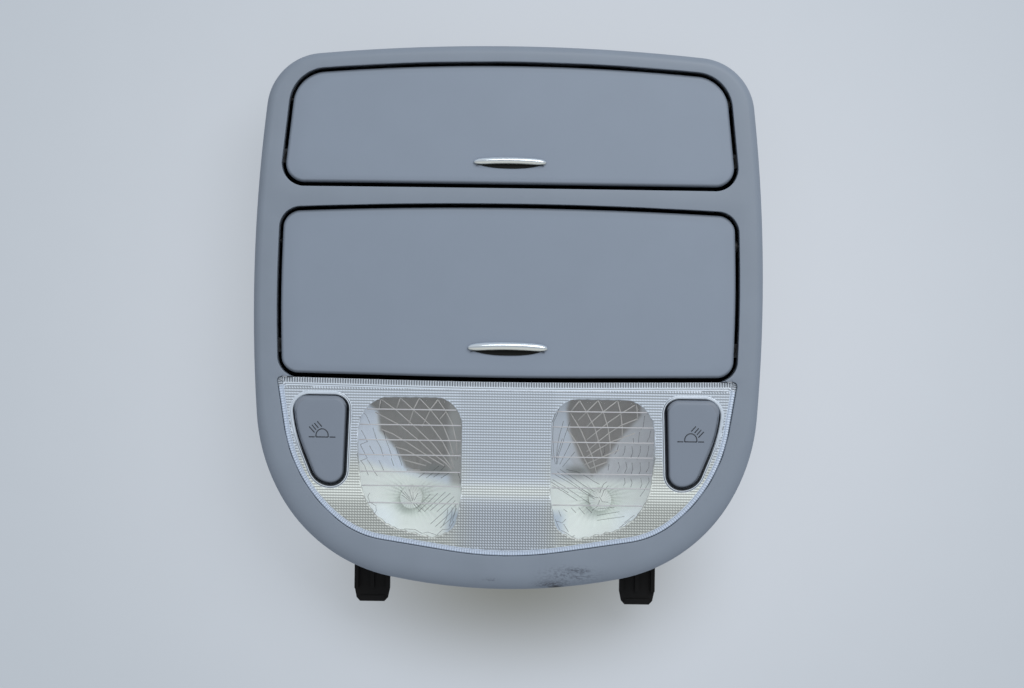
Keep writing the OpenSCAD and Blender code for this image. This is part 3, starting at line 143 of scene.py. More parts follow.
def lensLess(drop):
    return lambda x, y: lensTop(x, y) - drop


def smooth(t):
    # 3 t^2 - 2 t^3 between 0 and 1
    t = np.clip(t, 0, 1)
    return t * t * (3 - 2 * t)


def ramp(v, start, width):
    # 0 up to the start, 1 from a width after it; a negative width falls the other way
    return smooth((v - start) / width)


def hump(v, middle, width):
    # e to the power of -((v - middle) / width)^2
    return np.exp(-((v - middle) / width) ** 2)


def circle(count, radius, centre):
    a = np.arange(count) * 2 * math.pi / count
    return np.column_stack((centre[0] + radius * np.cos(a), centre[1] + radius * np.sin(a)))


def fillBends(half):
    # A bend of None takes what its neighbours leave of their common side
    done = []
    for i, (x, y, bend) in enumerate(half):
        if bend is None:
            bend = min(math.hypot(half[j][0] - x, half[j][1] - y) - half[j][2] - skin["bendGap"]
                       for j in (i - 1, i + 1) if 0 <= j < len(half) and half[j][2] is not None)
        done.append((x, y, bend))
    return done


def mirrored(half):
    # A right half, from the top down, made a closed loop that runs anticlockwise
    half = fillBends(half)
    return half[::-1] + [(-x, y, b) for x, y, b in half[1:-1]]


def roundedLoop(corners, arcStep=3.0, spanStep=4.0):
    # Round each corner with an arc whose ends lie "bend" away from it, and join the arcs by lines.
    # Gives the points and the unit normals that point out of the loop.
    points, normals, arcs = [], [], []
    c = np.array([k[:2] for k in corners], float)
    n = len(corners)
    for i in range(n):
        a, b, d = c[i - 1], c[i], c[(i + 1) % n]
        u = (a - b) / np.linalg.norm(a - b)
        v = (d - b) / np.linalg.norm(d - b)
        turn = math.degrees(math.acos(max(-1, min(1, -u @ v))))
        turn = 0 if turn < leastTurn else turn if u[0] * v[1] < u[1] * v[0] else -turn
        bend = corners[i][2] if turn else 0
        r = bend / math.tan(math.radians(turn / 2)) if turn else 0
        centre = b + bend * u - r * np.array((-u[1], u[0]))
        arcs.append((centre, r, math.degrees(math.atan2(u[0], -u[1])), turn))
    for i in range(n):
        centre, r, first, turn = arcs[i]
        chords = math.ceil(abs(r * math.radians(turn)) / longestChord)
        steps = max(4, math.ceil(abs(turn) / arcStep), chords) if turn else 0
        angles = np.radians(first + turn * np.linspace(0, 1, steps + 1))
        dirs = np.stack((np.cos(angles), np.sin(angles)), 1)
        points.append(centre + r * dirs)
        normals.append(dirs)
        nextCentre, nextR, nextFirst, _ = arcs[(i + 1) % n]
        nextFirst = math.radians(nextFirst)
        goal = nextCentre + nextR * np.array((math.cos(nextFirst), math.sin(nextFirst)))
        last = points[-1][-1]
        spans = max(1, math.ceil(np.linalg.norm(goal - last) / spanStep))
        if spans > 1:
            points.append(last + np.arange(1, spans)[:, None] / spans * (goal - last))
            normals.append(np.repeat(dirs[-1:], spans - 1, 0))
    p, m = np.concatenate(points), np.concatenate(normals)
    keep = np.linalg.norm(p - np.roll(p, 1, 0), axis=1) > samePoint
    return p[keep], m[keep]


def sideLoop(corners, side, spanStep=1.0):
    # The loop on the right, or its mirror image on the left
    corners = corners if side > 0 else [(-x, y, b) for x, y, b in corners[::-1]]
    return roundedLoop(corners, 4, spanStep)


def insetLoop(corners, inset):
    # Every side moved inward; a corner's bend shrinks with it, so that roundings stay parallel
    c = np.array([k[:2] for k in corners], float)
    ahead = np.roll(c, -1, 0) - c
    ahead /= np.linalg.norm(ahead, axis=1)[:, None]
    outward = np.column_stack((ahead[:, 1], -ahead[:, 0]))
    before = np.roll(outward, 1, 0)
    dot = (before * outward).sum(1)
    moved = c - inset * (before + outward) / (1 + dot)[:, None]
    tangents = np.tan(np.arccos(np.clip(dot, -1, 1)) / 2)
    bends = [max(leastBend, k[2] - inset * t) for k, t in zip(corners, tangents)]
    return roundedLoop([(x, y, b) for (x, y), b in zip(moved, bends)], 2, 1.5)[0]


def toothedLoop(corners, pitch, perPitch):
    # Points spread evenly between the middles of the roundings; each stretch holds whole teeth
    p, _ = roundedLoop(corners, 2, 1.5)
    anchors = np.sort([np.argmin(((p - k[:2]) ** 2).sum(1)) for k in corners])
    lengths = np.linalg.norm(np.roll(p, -1, 0) - p, axis=1)
    twice = np.vstack((p, p, p[:1]))
    at = np.concatenate(([0], np.cumsum(np.tile(lengths, 2))))
    along = []
    for a, b in zip(at[anchors], at[np.append(anchors[1:], anchors[0] + len(p))]):
        count = perPitch * max(1, round((b - a) / pitch))
        along.append(a + (b - a) * np.arange(count) / count)
    along = np.concatenate(along)
    return np.column_stack([np.interp(along, at, twice[:, k]) for k in (0, 1)])


# ---- mesh helpers
def addPiece(name, verts, faces, body, slot, replaced=()):
    # Vertices are millimetres in an array; faces are rows of indices
    mesh = bpy.data.meshes.new(name)
    rows = [tuple(int(i) for i in f) for f in faces]
    mesh.from_pydata((np.asarray(verts, float) * mm).tolist(), [], rows)
    mesh.validate()
    piece = addObject(mesh)
    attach(piece, body)
    if replaced:
        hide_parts(*replaced)
    return piece


def finishPiece(piece, finish, shade=None, merge=None, wall=None):
    # In this order: a grey or coloured value for each vertex, doubled vertices closer than "merge"
    # joined, a wall inward of the surface, and the finish
    mesh = piece.data
    if shade is not None:
        shade = np.asarray(shade, float)
        if shade.ndim == 1:
            shade = np.repeat(shade[:, None], 3, 1)
        rows = np.column_stack((shade, np.ones(len(shade)))).astype(np.float32)
        layer = mesh.attributes.new("shade", "FLOAT_COLOR", "POINT")
        layer.data.foreach_set("color", rows.ravel())
    if merge:
        bm = bmesh.new()
        bm.from_mesh(mesh)
        bmesh.ops.remove_doubles(bm, verts=bm.verts, dist=merge * mm)
        bmesh.ops.recalc_face_normals(bm, faces=bm.faces)
        bm.to_mesh(mesh)
        bm.free()
    mesh.polygons.foreach_set("use_smooth", np.ones(len(mesh.polygons), bool))
    if wall:
        mod = piece.modifiers.new("wall", "SOLIDIFY")
        mod.thickness = wall * mm
        mod.offset = -1
        mod.use_even_offset = False
    mesh.materials.clear()
    mesh.materials.append(finishes[finish])


def gridFaces(rings, n, start=0, closed=True):
    # Quads between rings of n points each; ring k + 1 lies outside or below ring k
    k, i = np.meshgrid(np.arange(rings - 1), np.arange(n if closed else n - 1), indexing="ij")
    j = (i + 1) % n
    quads = np.stack((k * n + i, (k + 1) * n + i, (k + 1) * n + j, k * n + j), -1)
    return (start + quads).reshape(-1, 4)


def joinParts(parts):
    # Parts of vertices and faces become one list with shifted indices
    starts = np.cumsum([0] + [len(v) for v, _ in parts])
    faces = [[i + at for i in q] for (_, f), at in zip(parts, starts) for q in f]
    return np.concatenate([v for v, _ in parts]), faces


def ringAt(loop, out, height):
    # A loop moved along its normals, at a height that is a number or a function of x and y
    q = loop[0] + np.reshape(out, (-1, 1)) * loop[1]
    z = height(q[:, 0], q[:, 1]) if callable(height) else np.full(len(q), float(height))
    return np.column_stack((q, z))


def quarterEllipse(width, drop, count, power=2.0):
    # Profile from the face over the edge: (1 - a)^p + (1 - b)^p = 1, a across and b down
    t = np.linspace(0, math.pi / 2, count)
    s, c = np.sin(t) ** (2 / power), np.cos(t) ** (2 / power)
    return list(zip(-width * (1 - s), drop * (1 - c)))


def nearestOn(points, loop):
    # The point of the loop that lies nearest to each point: on every segment the foot of the
    # perpendicular, held between the ends, and of those the closest
    a, ab = loop, np.roll(loop, -1, 0) - loop
    lengths = np.maximum((ab ** 2).sum(1), 1e-12)
    found = []
    for k in range(0, len(points), chunk):
        p = points[k:k + chunk, None, :]
        t = np.clip(((p - a) * ab).sum(2) / lengths, 0, 1)
        q = a + t[:, :, None] * ab
        found.append(q[np.arange(len(q)), ((p - q) ** 2).sum(2).argmin(1)])
    return np.concatenate(found)


def distanceTo(points, loop):
    return np.sqrt(((points - nearestOn(points, loop)) ** 2).sum(1))


def insideLoop(points, loop, margin):
    # Even-odd test by crossings; then points nearer than the margin are left out, or, with a
    # negative margin, those nearer than it outside are let in
    a, b = loop, np.roll(loop, -1, 0)
    x, y = points[:, 0][:, None], points[:, 1][:, None]
    cross = (a[:, 1] > y) != (b[:, 1] > y)
    with np.errstate(divide="ignore", invalid="ignore"):
        xs = a[:, 0] + (y - a[:, 1]) * (b[:, 0] - a[:, 0]) / (b[:, 1] - a[:, 1])
    isIn = (np.sum(cross & (x < xs), 1) % 2) == 1
    d = distanceTo(points, loop)
    return isIn & (d > margin) if margin > 0 else isIn | (d < -margin)


def faceBetween(outer, holes, spacing, height, keepOff=0.45):
    # Triangles that fill a loop less its holes, with inner points on a square grid that keeps
    # that share of its spacing off the loops; lifted by a function of x and y
    lo, hi = outer.min(0), outer.max(0)
    lo = np.ceil(lo / spacing) * spacing
    gx, gy = np.meshgrid(np.arange(lo[0], hi[0], spacing), np.arange(lo[1], hi[1], spacing))
    grid = np.column_stack((gx.ravel(), gy.ravel()))
    keep = insideLoop(grid, outer, spacing * keepOff)
    for h in holes:
        keep &= ~insideLoop(grid, h, -spacing * keepOff)
    loops = [outer] + holes
    starts = np.cumsum([0] + [len(q) for q in loops])
    rounds = [list(range(a, b)) for a, b in zip(starts, starts[1:])]
    flat = [Vector(p) for p in np.concatenate(loops + [grid[keep]])]
    out = delaunay_2d_cdt(flat, [], rounds, 0, 1e-5)
    verts = np.array([tuple(v) for v in out[0]])
    # a triangle that lies in the outer loop and in no hole comes from face 0 alone
    tris = [f for f, ids in zip(out[2], out[5]) if set(ids) == {0}]
    return np.column_stack((verts, height(verts[:, 0], verts[:, 1]))), tris


# ---- materials
def connect(tree, inputs, values):
    # Inputs by name or number: a socket is linked, a colour gets its alpha, a value is set
    for key, v in values.items():
        if isinstance(v, bpy.types.NodeSocket):
            tree.links.new(v, inputs[key])
        else:
            colour = inputs[key].type == "RGBA"
            inputs[key].default_value = (*v, 1) if colour else v


def node(tree, kind, inputs=None, **settings):
    n = tree.nodes.new("ShaderNode" + kind)
    for key, v in settings.items():
        setattr(n, key, v)
    connect(tree, n.inputs, inputs or {})
    return n


def objectCoords(t):
    return node(t, "TexCoord").outputs["Object"]


def noiseOf(t, coords, scale, detail, roughness=0.5):
    inputs = {"Vector": coords, "Scale": scale, "Detail": detail, "Roughness": roughness}
    return node(t, "TexNoise", inputs).outputs["Fac"]


def spread(t, value, low, high, fromLow=0.0, fromHigh=1.0, **settings):
    # The value carried from one range to another
    inputs = {"Value": value, "From Min": fromLow, "From Max": fromHigh, "To Min": low,
              "To Max": high}
    return node(t, "MapRange", inputs, **settings).outputs["Result"]


def reckon(t, operation, a, b):
    return node(t, "Math", {0: a, 1: b}, operation=operation).outputs[0]


def blend(t, factor, under, over, kind="MIX"):
    # Two colours, each a socket or three numbers, mixed by a socket or a number
    inputs = {0: factor, 6: under, 7: over}
    return node(t, "Mix", inputs, data_type="RGBA", blend_type=kind).outputs[2]


def newGroup(name, inputs, outputs):
    # A node group with these names and kinds of sockets, its given values and its results
    g = bpy.data.node_groups.new(name, "ShaderNodeTree")
    for way, sockets in (("INPUT", inputs), ("OUTPUT", outputs)):
        for label, kind in sockets.items():
            g.interface.new_socket(label, in_out=way, socket_type="NodeSocket" + kind)
    return g, g.nodes.new("NodeGroupInput").outputs, g.nodes.new("NodeGroupOutput").inputs


def makeGrainGroup():
    # Moulded plastic: fine pits for the bump, soft mottling for the colour and the roughness
    g, given, result = newGroup(
        "mouldedGrain",
        {"Coordinates": "Vector", "Colour": "Color", "Grain size": "Float", "Mottle": "Float"},
        {"Colour out": "Color", "Height": "Float", "Roughness": "Float"})
    broad = noiseOf(g, given["Coordinates"], 45.0, 4.0, 0.55)
    amount = reckon(g, "MULTIPLY", spread(g, broad, -1, 1, 0.3, 0.7), given["Mottle"])
    value = reckon(g, "ADD", amount, 1)
    colour = node(g, "HueSaturation", {"Value": value, "Color": given["Colour"]}).outputs["Color"]
    connect(g, result, {
        "Colour out": colour,
        "Height": noiseOf(g, given["Coordinates"], given["Grain size"], 3.0, 0.6),
        "Roughness": spread(g, broad, 0.42, 0.62),
    })
    return g


def makeSpotGroup():
    # A soft ellipse: 1 at its centre, falling smoothly to 0 where (p - centre) / size has length 1
    inputs = {"Coordinates": "Vector", "Centre": "Vector", "Size": "Vector"}
    g, given, result = newGroup("softSpot", inputs, {"Fac": "Float"})
    v = given["Coordinates"]
    for operation, by in (("SUBTRACT", "Centre"), ("DIVIDE", "Size")):
        v = node(g, "VectorMath", {0: v, 1: given[by]}, operation=operation).outputs["Vector"]
    length = node(g, "VectorMath", {0: v}, operation="LENGTH").outputs["Value"]
    connect(g, result, {"Fac": spread(g, length, 1, 0, interpolation_type="SMOOTHSTEP")})
    return g


grainGroup = makeGrainGroup()
spotGroup = makeSpotGroup()


def softSpot(t, centre, size):
    # The group's output for a centre and half-sizes in millimetres
    inputs = {"Coordinates": objectCoords(t), "Centre": Vector(centre) * mm,
              "Size": Vector(size) * mm}
    return node(t, "Group", inputs, node_tree=spotGroup).outputs["Fac"]


def newMaterial(name):
    m = bpy.data.materials.new(name)
    m.use_nodes = True
    return m, m.node_tree, m.node_tree.nodes["Principled BSDF"].inputs


def plasticMaterial(name, colour, roughness=None, grainSize=2200.0, mottle=0.03, bump=0.12,
                    specular=0.5, coat=0.0):
    # Moulded plastic; a roughness of its own takes the place of the grain's
    m, t, surface = newMaterial(name)
    inputs = {"Coordinates": objectCoords(t), "Colour": colour, "Grain size": grainSize,
              "Mottle": mottle}
    grain = node(t, "Group", inputs, node_tree=grainGroup).outputs
    pits = node(t, "Bump", {"Strength": bump, "Distance": 0.0002, "Height": grain["Height"]})
    connect(t, surface, {
        "Base Color": grain["Colour out"], "Normal": pits.outputs["Normal"],
        "Roughness": grain["Roughness"] if roughness is None else roughness,
        "Specular IOR Level": specular, "Coat Weight": coat,
    })
    return m


def shadedMaterial(name, colour, roughness, metallic=0.0, paintedGlow=0.0, bump=0.05, grainSize=1500.0,
                   **more):
    # A finish whose colour is multiplied by the attribute that its piece carries, which mostly
    # holds painted shade, highlights and reflections; an emission strength above 0 makes it give
    # off light though it is no lamp, as painted light
    m = plasticMaterial(name, colour, roughness, grainSize, mottle=0.015, bump=bump, **more)
    t = m.node_tree
    grain = next(n for n in t.nodes if n.type == "GROUP")
    shade = node(t, "Attribute", attribute_name="shade").outputs["Color"]
    connect(t, grain.inputs, {"Colour": blend(t, 1, colour, shade, "MULTIPLY")})
    connect(t, t.nodes["Principled BSDF"].inputs, {
        "Metallic": metallic, "Emission Strength": paintedGlow,
        "Emission Color": grain.outputs["Colour out"]})
    return m


def smudgeAndShadeMaterial(name, colour, spots):
    # The shell's plastic with dark spots, used for real smudges and for painted shade: stretched
    # noise cut off at a level, inside soft spots
    m = plasticMaterial(name, colour)
    t = m.node_tree
    surface = t.nodes["Principled BSDF"].inputs
    current = surface["Base Color"].links[0].from_socket
    for centre, size, scale, cut, dark in spots:
        stretched = node(t, "Mapping", {"Vector": objectCoords(t), "Scale": (1, 2.2, 1)})
        noise = noiseOf(t, stretched.outputs["Vector"], scale, 5.0, 0.7)
        level = spread(t, noise, 0, 1, cut, cut + 0.12)
        amount = reckon(t, "MULTIPLY", level, softSpot(t, centre, size))
        current = blend(t, amount, current, dark)
    connect(t, surface, {"Base Color": current})
    return m


def sheetMaterial(name, colour, least, most, roughness=0.05):
    # A thin clear sheet: seen through where it faces the eye, with more of its own at a slant
    m = plasticMaterial(name, colour, roughness, grainSize=400.0, mottle=0.02, bump=0.0)
    t = m.node_tree
    facing = node(t, "LayerWeight", {"Blend": 0.4}).outputs["Facing"]
    connect(t, t.nodes["Principled BSDF"].inputs, {"Alpha": spread(t, facing, least, most)})
    return m


def noisyMaterial(name, colour, scale, detail, darkest):
    # The colour darkened by noise down to a share of it
    m, t, surface = newMaterial(name)
    noise = noiseOf(t, objectCoords(t), scale, detail)
    darker = tuple(c * darkest for c in colour)
    connect(t, surface, {"Base Color": blend(t, noise, darker, colour)})
    return m, t, surface, noise


def metalMaterial(name, colour, roughness):
    # Its roughness varies with the noise too, by 0.3 either way
    m, t, surface, noise = noisyMaterial(name, colour, 600.0, 3.0, 0.92)
    rough = spread(t, noise, roughness * 0.7, roughness * 1.3)
    connect(t, surface, {"Metallic": 1, "Roughness": rough})
    return m


def clearMaterial(name, colour, roughness, transmission):
    m, t, surface, _ = noisyMaterial(name, colour, 120.0, 2.0, 0.97)
    connect(t, surface, {"Roughness": roughness, "Transmission Weight": transmission, "IOR": 1.49})
    return m


def srgb(r, g, b):
    # The linear value of each 0 to 255 value
    c = np.array((r, g, b)) / 255
    return tuple(np.where(c <= 0.04045, c / 12.92, ((c + 0.055) / 1.055) ** 2.4))


everywhere = (100.0, -0.2)   # a scale and a level at which the noise cuts nothing off
# Each smudge: centre and half-sizes, the noise's scale, the level it is cut at and the colour
scuffs = [
    ((29, -110.0, 48), (20, 6.0, 12), 560.0, 0.47, srgb(98, 106, 118)),
    ((21, -114.5, 47), (12, 3.0, 12), 900.0, 0.42, srgb(78, 85, 96)),
    ((32, -108.0, 48), (9, 1.8, 12), 1100.0, 0.44, srgb(80, 88, 100)),
    ((-6, -112.5, 48), (5, 1.2, 12), 700.0, 0.46, srgb(98, 106, 118)),
    ((22.7, -115.8, 46.5), (4.6, 1.5, 14), *everywhere, srgb(10, 11, 13)),
]
# The ledges that the doors' stops land on lie in the gaps; near-black soft spots on them are
# painted shade
seatShades = [((side * x, y, z), (8, 15, 5), *everywhere, srgb(14, 15, 16))
         for side in (-1, 1) for x, y, z in ((99.4, 73, 42), (100.6, -9.5, 43.5))]
finishes = dict(
    shell_grey=plasticMaterial("shellGrey", srgb(134, 145, 160)),
    key_grey=plasticMaterial("keyGrey", srgb(127, 136, 149)),
    tray_grey=plasticMaterial("trayGrey", srgb(36, 38, 40), mottle=0.06, specular=0.3),
    smoke_black=plasticMaterial("smokeBlack", srgb(13, 13, 14), mottle=0.08, specular=0.2),
    bright_trim=metalMaterial("brightTrim", (0.82, 0.83, 0.84), 0.08),
    steel=metalMaterial("zincSteel", (0.55, 0.55, 0.56), 0.35),
    natural_plastic=plasticMaterial("naturalPlastic", srgb(222, 222, 214)),
    stop_rubber=plasticMaterial("stopRubber", srgb(16, 16, 16), bump=0.3, specular=0.2),
    clear_lens=clearMaterial("clearLens", (0.9, 0.93, 0.96), 0.05, 0.9),
    silvered=metalMaterial("silvered", (0.86, 0.86, 0.87), 0.12),
    bulb_glass=clearMaterial("bulbGlass", (1, 1, 1), 0.0, 1.0),
    holder_white=plasticMaterial("holderWhite", srgb(228, 226, 218)),
    board_green=plasticMaterial("boardGreen", srgb(40, 92, 62)),
    contact_brass=metalMaterial("contactBrass", (0.75, 0.6, 0.3), 0.25),
    bezelGrey=smudgeAndShadeMaterial("bezelGrey", srgb(133, 144, 158), scuffs),
    # The bezel's own solid, with painted shade on its ledges in the gaps
    bezelSeatShade=smudgeAndShadeMaterial("bezelSeatShade", srgb(134, 145, 160), seatShades),
    # The lens: painted shade in its grooves, teeth, notches and collars, and a little emission
    # that is painted light
    lensTextureShade=shadedMaterial("lensTextureShade", srgb(226, 238, 251), 0.22, coat=0.3, paintedGlow=0.08),
    windowClear=sheetMaterial("windowClear", srgb(190, 196, 200), 0.05, 0.16),
    # Dark strokes in the windows: painted reflection lines, partly see-through
    lineShade=sheetMaterial("lineShade", srgb(52, 58, 64), 0.3, 0.3, 0.5),
    # Doors and keys: painted shade along their edges
    doorShade=shadedMaterial("doorShade", srgb(137, 149, 165), 0.52, bump=0.12, grainSize=2200.0),
    keyShade=shadedMaterial("keyShade", srgb(132, 142, 156), 0.5, specular=0.3, bump=0.1,
                            grainSize=2200.0),
    # The bulbs: painted reflection lines, and emission that is painted light
    bulbFrostGlow=shadedMaterial("bulbFrostGlow", srgb(214, 221, 217), 0.4, paintedGlow=0.21),
    # Grip bars: painted highlight and shade across them
    trimShade=shadedMaterial("trimShade", (1.0, 1.0, 1.0), 0.12, metallic=0.6, coat=0.4, bump=0.0),
    # Near-black finishes for solids seen only in the gaps: painted shade
    gapShadeSteel=metalMaterial("gapShadeSteel", (0.03, 0.03, 0.032), 0.5),
    gapShadeGear=plasticMaterial("gapShadeGear", srgb(20, 20, 20), mottle=0.05, specular=0.2),
    # Window ridges: real ridges, their lightness a painted highlight
    ridgeHighlight=plasticMaterial("ridgeHighlight", srgb(198, 199, 203), mottle=0.02, bump=0.02),
    # Bright lines in the windows: painted reflections of the reflector's facets
    reflectionLineBright=plasticMaterial("reflectionLineBright", srgb(188, 186, 184), mottle=0.02, bump=0.02),
    # The bowls: painted reflections and shade, and emission that is painted light
    bowlPaintedReflection=shadedMaterial("bowlPaintedReflection", (1.0, 1.0, 1.0), 0.4, metallic=0.1, paintedGlow=0.17),
    # Grip hollows: a sheet painted dark, the shade under the bar
    hollowShade=shadedMaterial("hollowShade", srgb(24, 26, 24), 0.6, specular=0.15),
    signDark=plasticMaterial("signDark", srgb(56, 62, 71), mottle=0.02),
)
# Solids that show in the gaps only, by a part of their name; their near-black finishes are painted
# shade
shadedInTheGaps = dict(hinge_pins="gapShadeSteel", door_spring="gapShadeSteel", damper_gear="gapShadeGear",
                 latch_slider="gapShadeGear", bezel="bezelSeatShade")
slotOf = {s["node"]: s["material_slot"] for s in frame["record"]["subparts"]}
for name, obj in frame["nodes"].items():
    hidden = [f for key, f in shadedInTheGaps.items() if key in name]
    obj.data.materials.clear()
    obj.data.materials.append(finishes[hidden[0] if hidden else slotOf[name]])
print("materials on the packed solids")


# ---- bezel
def makeBezel(s):
    # Outer edge: a quarter ellipse carried round the outline, wider at the heel. Openings: a small
    # rounded edge and a wall carried round each, less what lies in the opening beside it. Between
    # them the crowned face.
    loop = roundedLoop(mirrored(s["half"]))
    wider = 1 + s["heelSlope"] * ramp(loop[0][:, 1], s["heelFrom"], -s["heelLength"])
    rings = [ringAt(loop, out * wider + skin["out"], crownLess(drop))
             for out, drop in quarterEllipse(s["edgeRound"], s["edgeDrop"], s["edgePoints"])]
    rings += [ringAt(loop, skin["out"], s["rimZ"] + up) for up in (s["between"], 0)]
    outer = rings[0][:, :2]
    parts = [(np.concatenate(rings), gridFaces(len(rings), len(outer)))]
    r = skin["openingRound"]
    walls = []
    for shape in (upperDoor, lowerDoor, lensShape):
        loop = roundedLoop(mirrored(shape["half"]))
        side = s["lensGap" if shape is lensShape else "openingOut"] - skin["openingIn"]
        rings = [ringAt(loop, side + r * (1 - math.sin(a)), crownLess(r * (1 - math.cos(a))))
                 for a in np.linspace(0, math.pi / 2, 5)]
        rings += [ringAt(loop, side, s["seatZ"] + up) for up in (s["between"], s["wallFoot"])]
        walls.append(np.array(rings))
    for mine in walls:
        n = mine.shape[1]
        shared = np.zeros(n, bool)
        for other in walls:
            if other is not mine:
                shared |= insideLoop(mine[0][:, :2], other[0][:, :2], -1e-6)
        quads = gridFaces(len(mine), n)[:, ::-1]
        parts.append((mine.reshape(-1, 3), quads[~shared[quads % n].any(1)]))
    parts.append(faceBetween(outer, [w[0][:, :2] for w in walls], s["faceSpacing"], crownLess(0)))
    piece = addPiece("bezelSkin", *joinParts(parts), "console", "shell_grey")
    finishPiece(piece, "bezelGrey", merge=0.004, wall=s["thickness"])


makeBezel(console)
print("bezel made")

# ---- doors and push keys. Edge: width, drop, points and power of its ellipse; sunk: under the crown at the middle, over the face and at the edge; dark: where the edge's painted shade starts, how far it takes to be full and its power; darkest: its share, by how level the nearest outline runs and by y
doorCap = dict(
    out=-console["openingOut"], edge=(1.4, 1.4, 9), rings=(0.04, 14), sunk=(0, 0, 0),
    lift=skin["lift"], dark=(1.9, -1.7, 1.3), wall=0.4, finish="doorShade",
    darkest=lambda level, y: 0.25 + 0.3 * ramp(level, 0.4, 0.5),
)
keyCap = dict(
    out=0.0, edge=(2.0, 2.1, 9, 2.3), rings=(0.06, 10), sunk=(0.23, 0.22, 0.25),
    lift=skin["lift"] / 2, dark=(1.3, -1.1, 1.5), wall=0.35, finish="keyShade",
    darkest=lambda level, y: 0.72 - 0.3 * ramp(y, -36, 3), mid=(81.5, -50.0), skirtZ=42,
)


def makeCap(name, loop, mid, skirtZ, body, slot, s):
    # Rings scaled up from the middle over the crown, a rounded edge, then the skirt down. Its
    # painted shade, darker near the outline, is 1 - darkest x (a ramp of the distance from the
    # outline) ^ power.
    points, normals = loop
    middle, face, edge = s["sunk"]
    rim = points + (s["out"] - s["edge"][0]) * normals
    rings = [ringAt((mid + k * (rim - mid), normals), 0, crownLess(face, s["lift"]))
             for k in np.linspace(s["rings"][0], 1, s["rings"][1])[:-1]]
    rings += [ringAt(loop, s["out"] + o + skin["out"], crownLess(edge + d, s["lift"]))
              for o, d in quarterEllipse(*s["edge"])]
    rings.append(ringAt(loop, s["out"] + skin["out"], skirtZ))
    verts = np.vstack(([*mid, crownLess(middle, s["lift"])(*mid)], *rings))
    n = len(points)
    i = np.arange(n)
    fan = np.stack((0 * i, 1 + i, 1 + (i + 1) % n), 1)
    piece = addPiece(name, verts, [*fan, *gridFaces(len(rings), n, 1)], body, slot)
    off = nearestOn(verts[:, :2], points + s["out"] * normals) - verts[:, :2]
    reach = np.hypot(off[:, 0], off[:, 1])
    darkest = s["darkest"](np.abs(off[:, 1]) / np.maximum(reach, 1e-6), verts[:, 1])
    start, width, power = s["dark"]
    shade = 1 - darkest * ramp(reach, start, width) ** power
    finishPiece(piece, s["finish"], shade, merge=0.004, wall=s["wall"])


for name, s in (("upperDoorSkin", upperDoor), ("lowerDoorSkin", lowerDoor)):
    mid = np.array((0, (s["half"][0][1] + s["half"][-1][1]) / 2))
    loop = roundedLoop(mirrored(s["half"]))
    makeCap(name, loop, mid, s["skirtZ"], s["body"], "shell_grey", doorCap)
print("doors made")
for side, key in sides:
    mid = np.array(keyCap["mid"]) * (side, 1)
    loop = sideLoop(keyCorners, side, 2.0)
    makeCap(key + "KeySkin", loop, mid, keyCap["skirtZ"], key + "_push", "key_grey", keyCap)
print("keys made")

# ---- bars along lines: the windows' ridges, painted reflection lines and strokes, and the signs on the keys
barSets = dict(
    Ridges=dict(width=0.52, height=0.2, depth=0.1, arc=5, top=lensLess(0.06), finish="ridgeHighlight"),
    ReflectionLines=dict(width=0.46, height=0.2, depth=0.1, arc=5, top=lensLess(1.35),
                finish="reflectionLineBright"),
    Strokes=dict(width=0.3, height=0.1, depth=0.05, arc=3, top=lensLess(1.55), finish="lineShade"),
    Sign=dict(width=0.5, height=0.03, depth=0.1, arc=3, top=crownLess(0.19, skin["lift"] / 2),
              finish="signDark"),
)


def makeBars(name, lines, s, body, slot):
    # Each line becomes a half-round bar: across it, height x sin(a) over top(x, y) and
    # width x cos(a) / 2. Its foot goes "depth" below, and its ends are closed.
    angles = np.linspace(0, math.pi, s["arc"])
    across = s["width"] / 2 * np.concatenate(([1], np.cos(angles), [-1]))
    up = np.concatenate(([-s["depth"]], s["height"] * np.sin(angles), [-s["depth"]]))
    k = len(across)
    parts = []
    for line in lines:
        p = np.asarray(line, float)
        ahead = np.gradient(p, axis=0)
        ahead /= np.linalg.norm(ahead, axis=1)[:, None]
        side = np.column_stack((ahead[:, 1], -ahead[:, 0]))
        q = p[:, None, :] + across[None, :, None] * side[:, None, :]
        z = s["top"](q[..., 0], q[..., 1]) + up
        ends = [np.arange(k), (len(p) - 1) * k + np.arange(k)[::-1]]
        parts.append((np.dstack((q, z)).reshape(-1, 3), [*gridFaces(len(p), k), *ends]))
    piece = addPiece(name, *joinParts(parts), body, slot)
    finishPiece(piece, s["finish"], merge=0.0005)


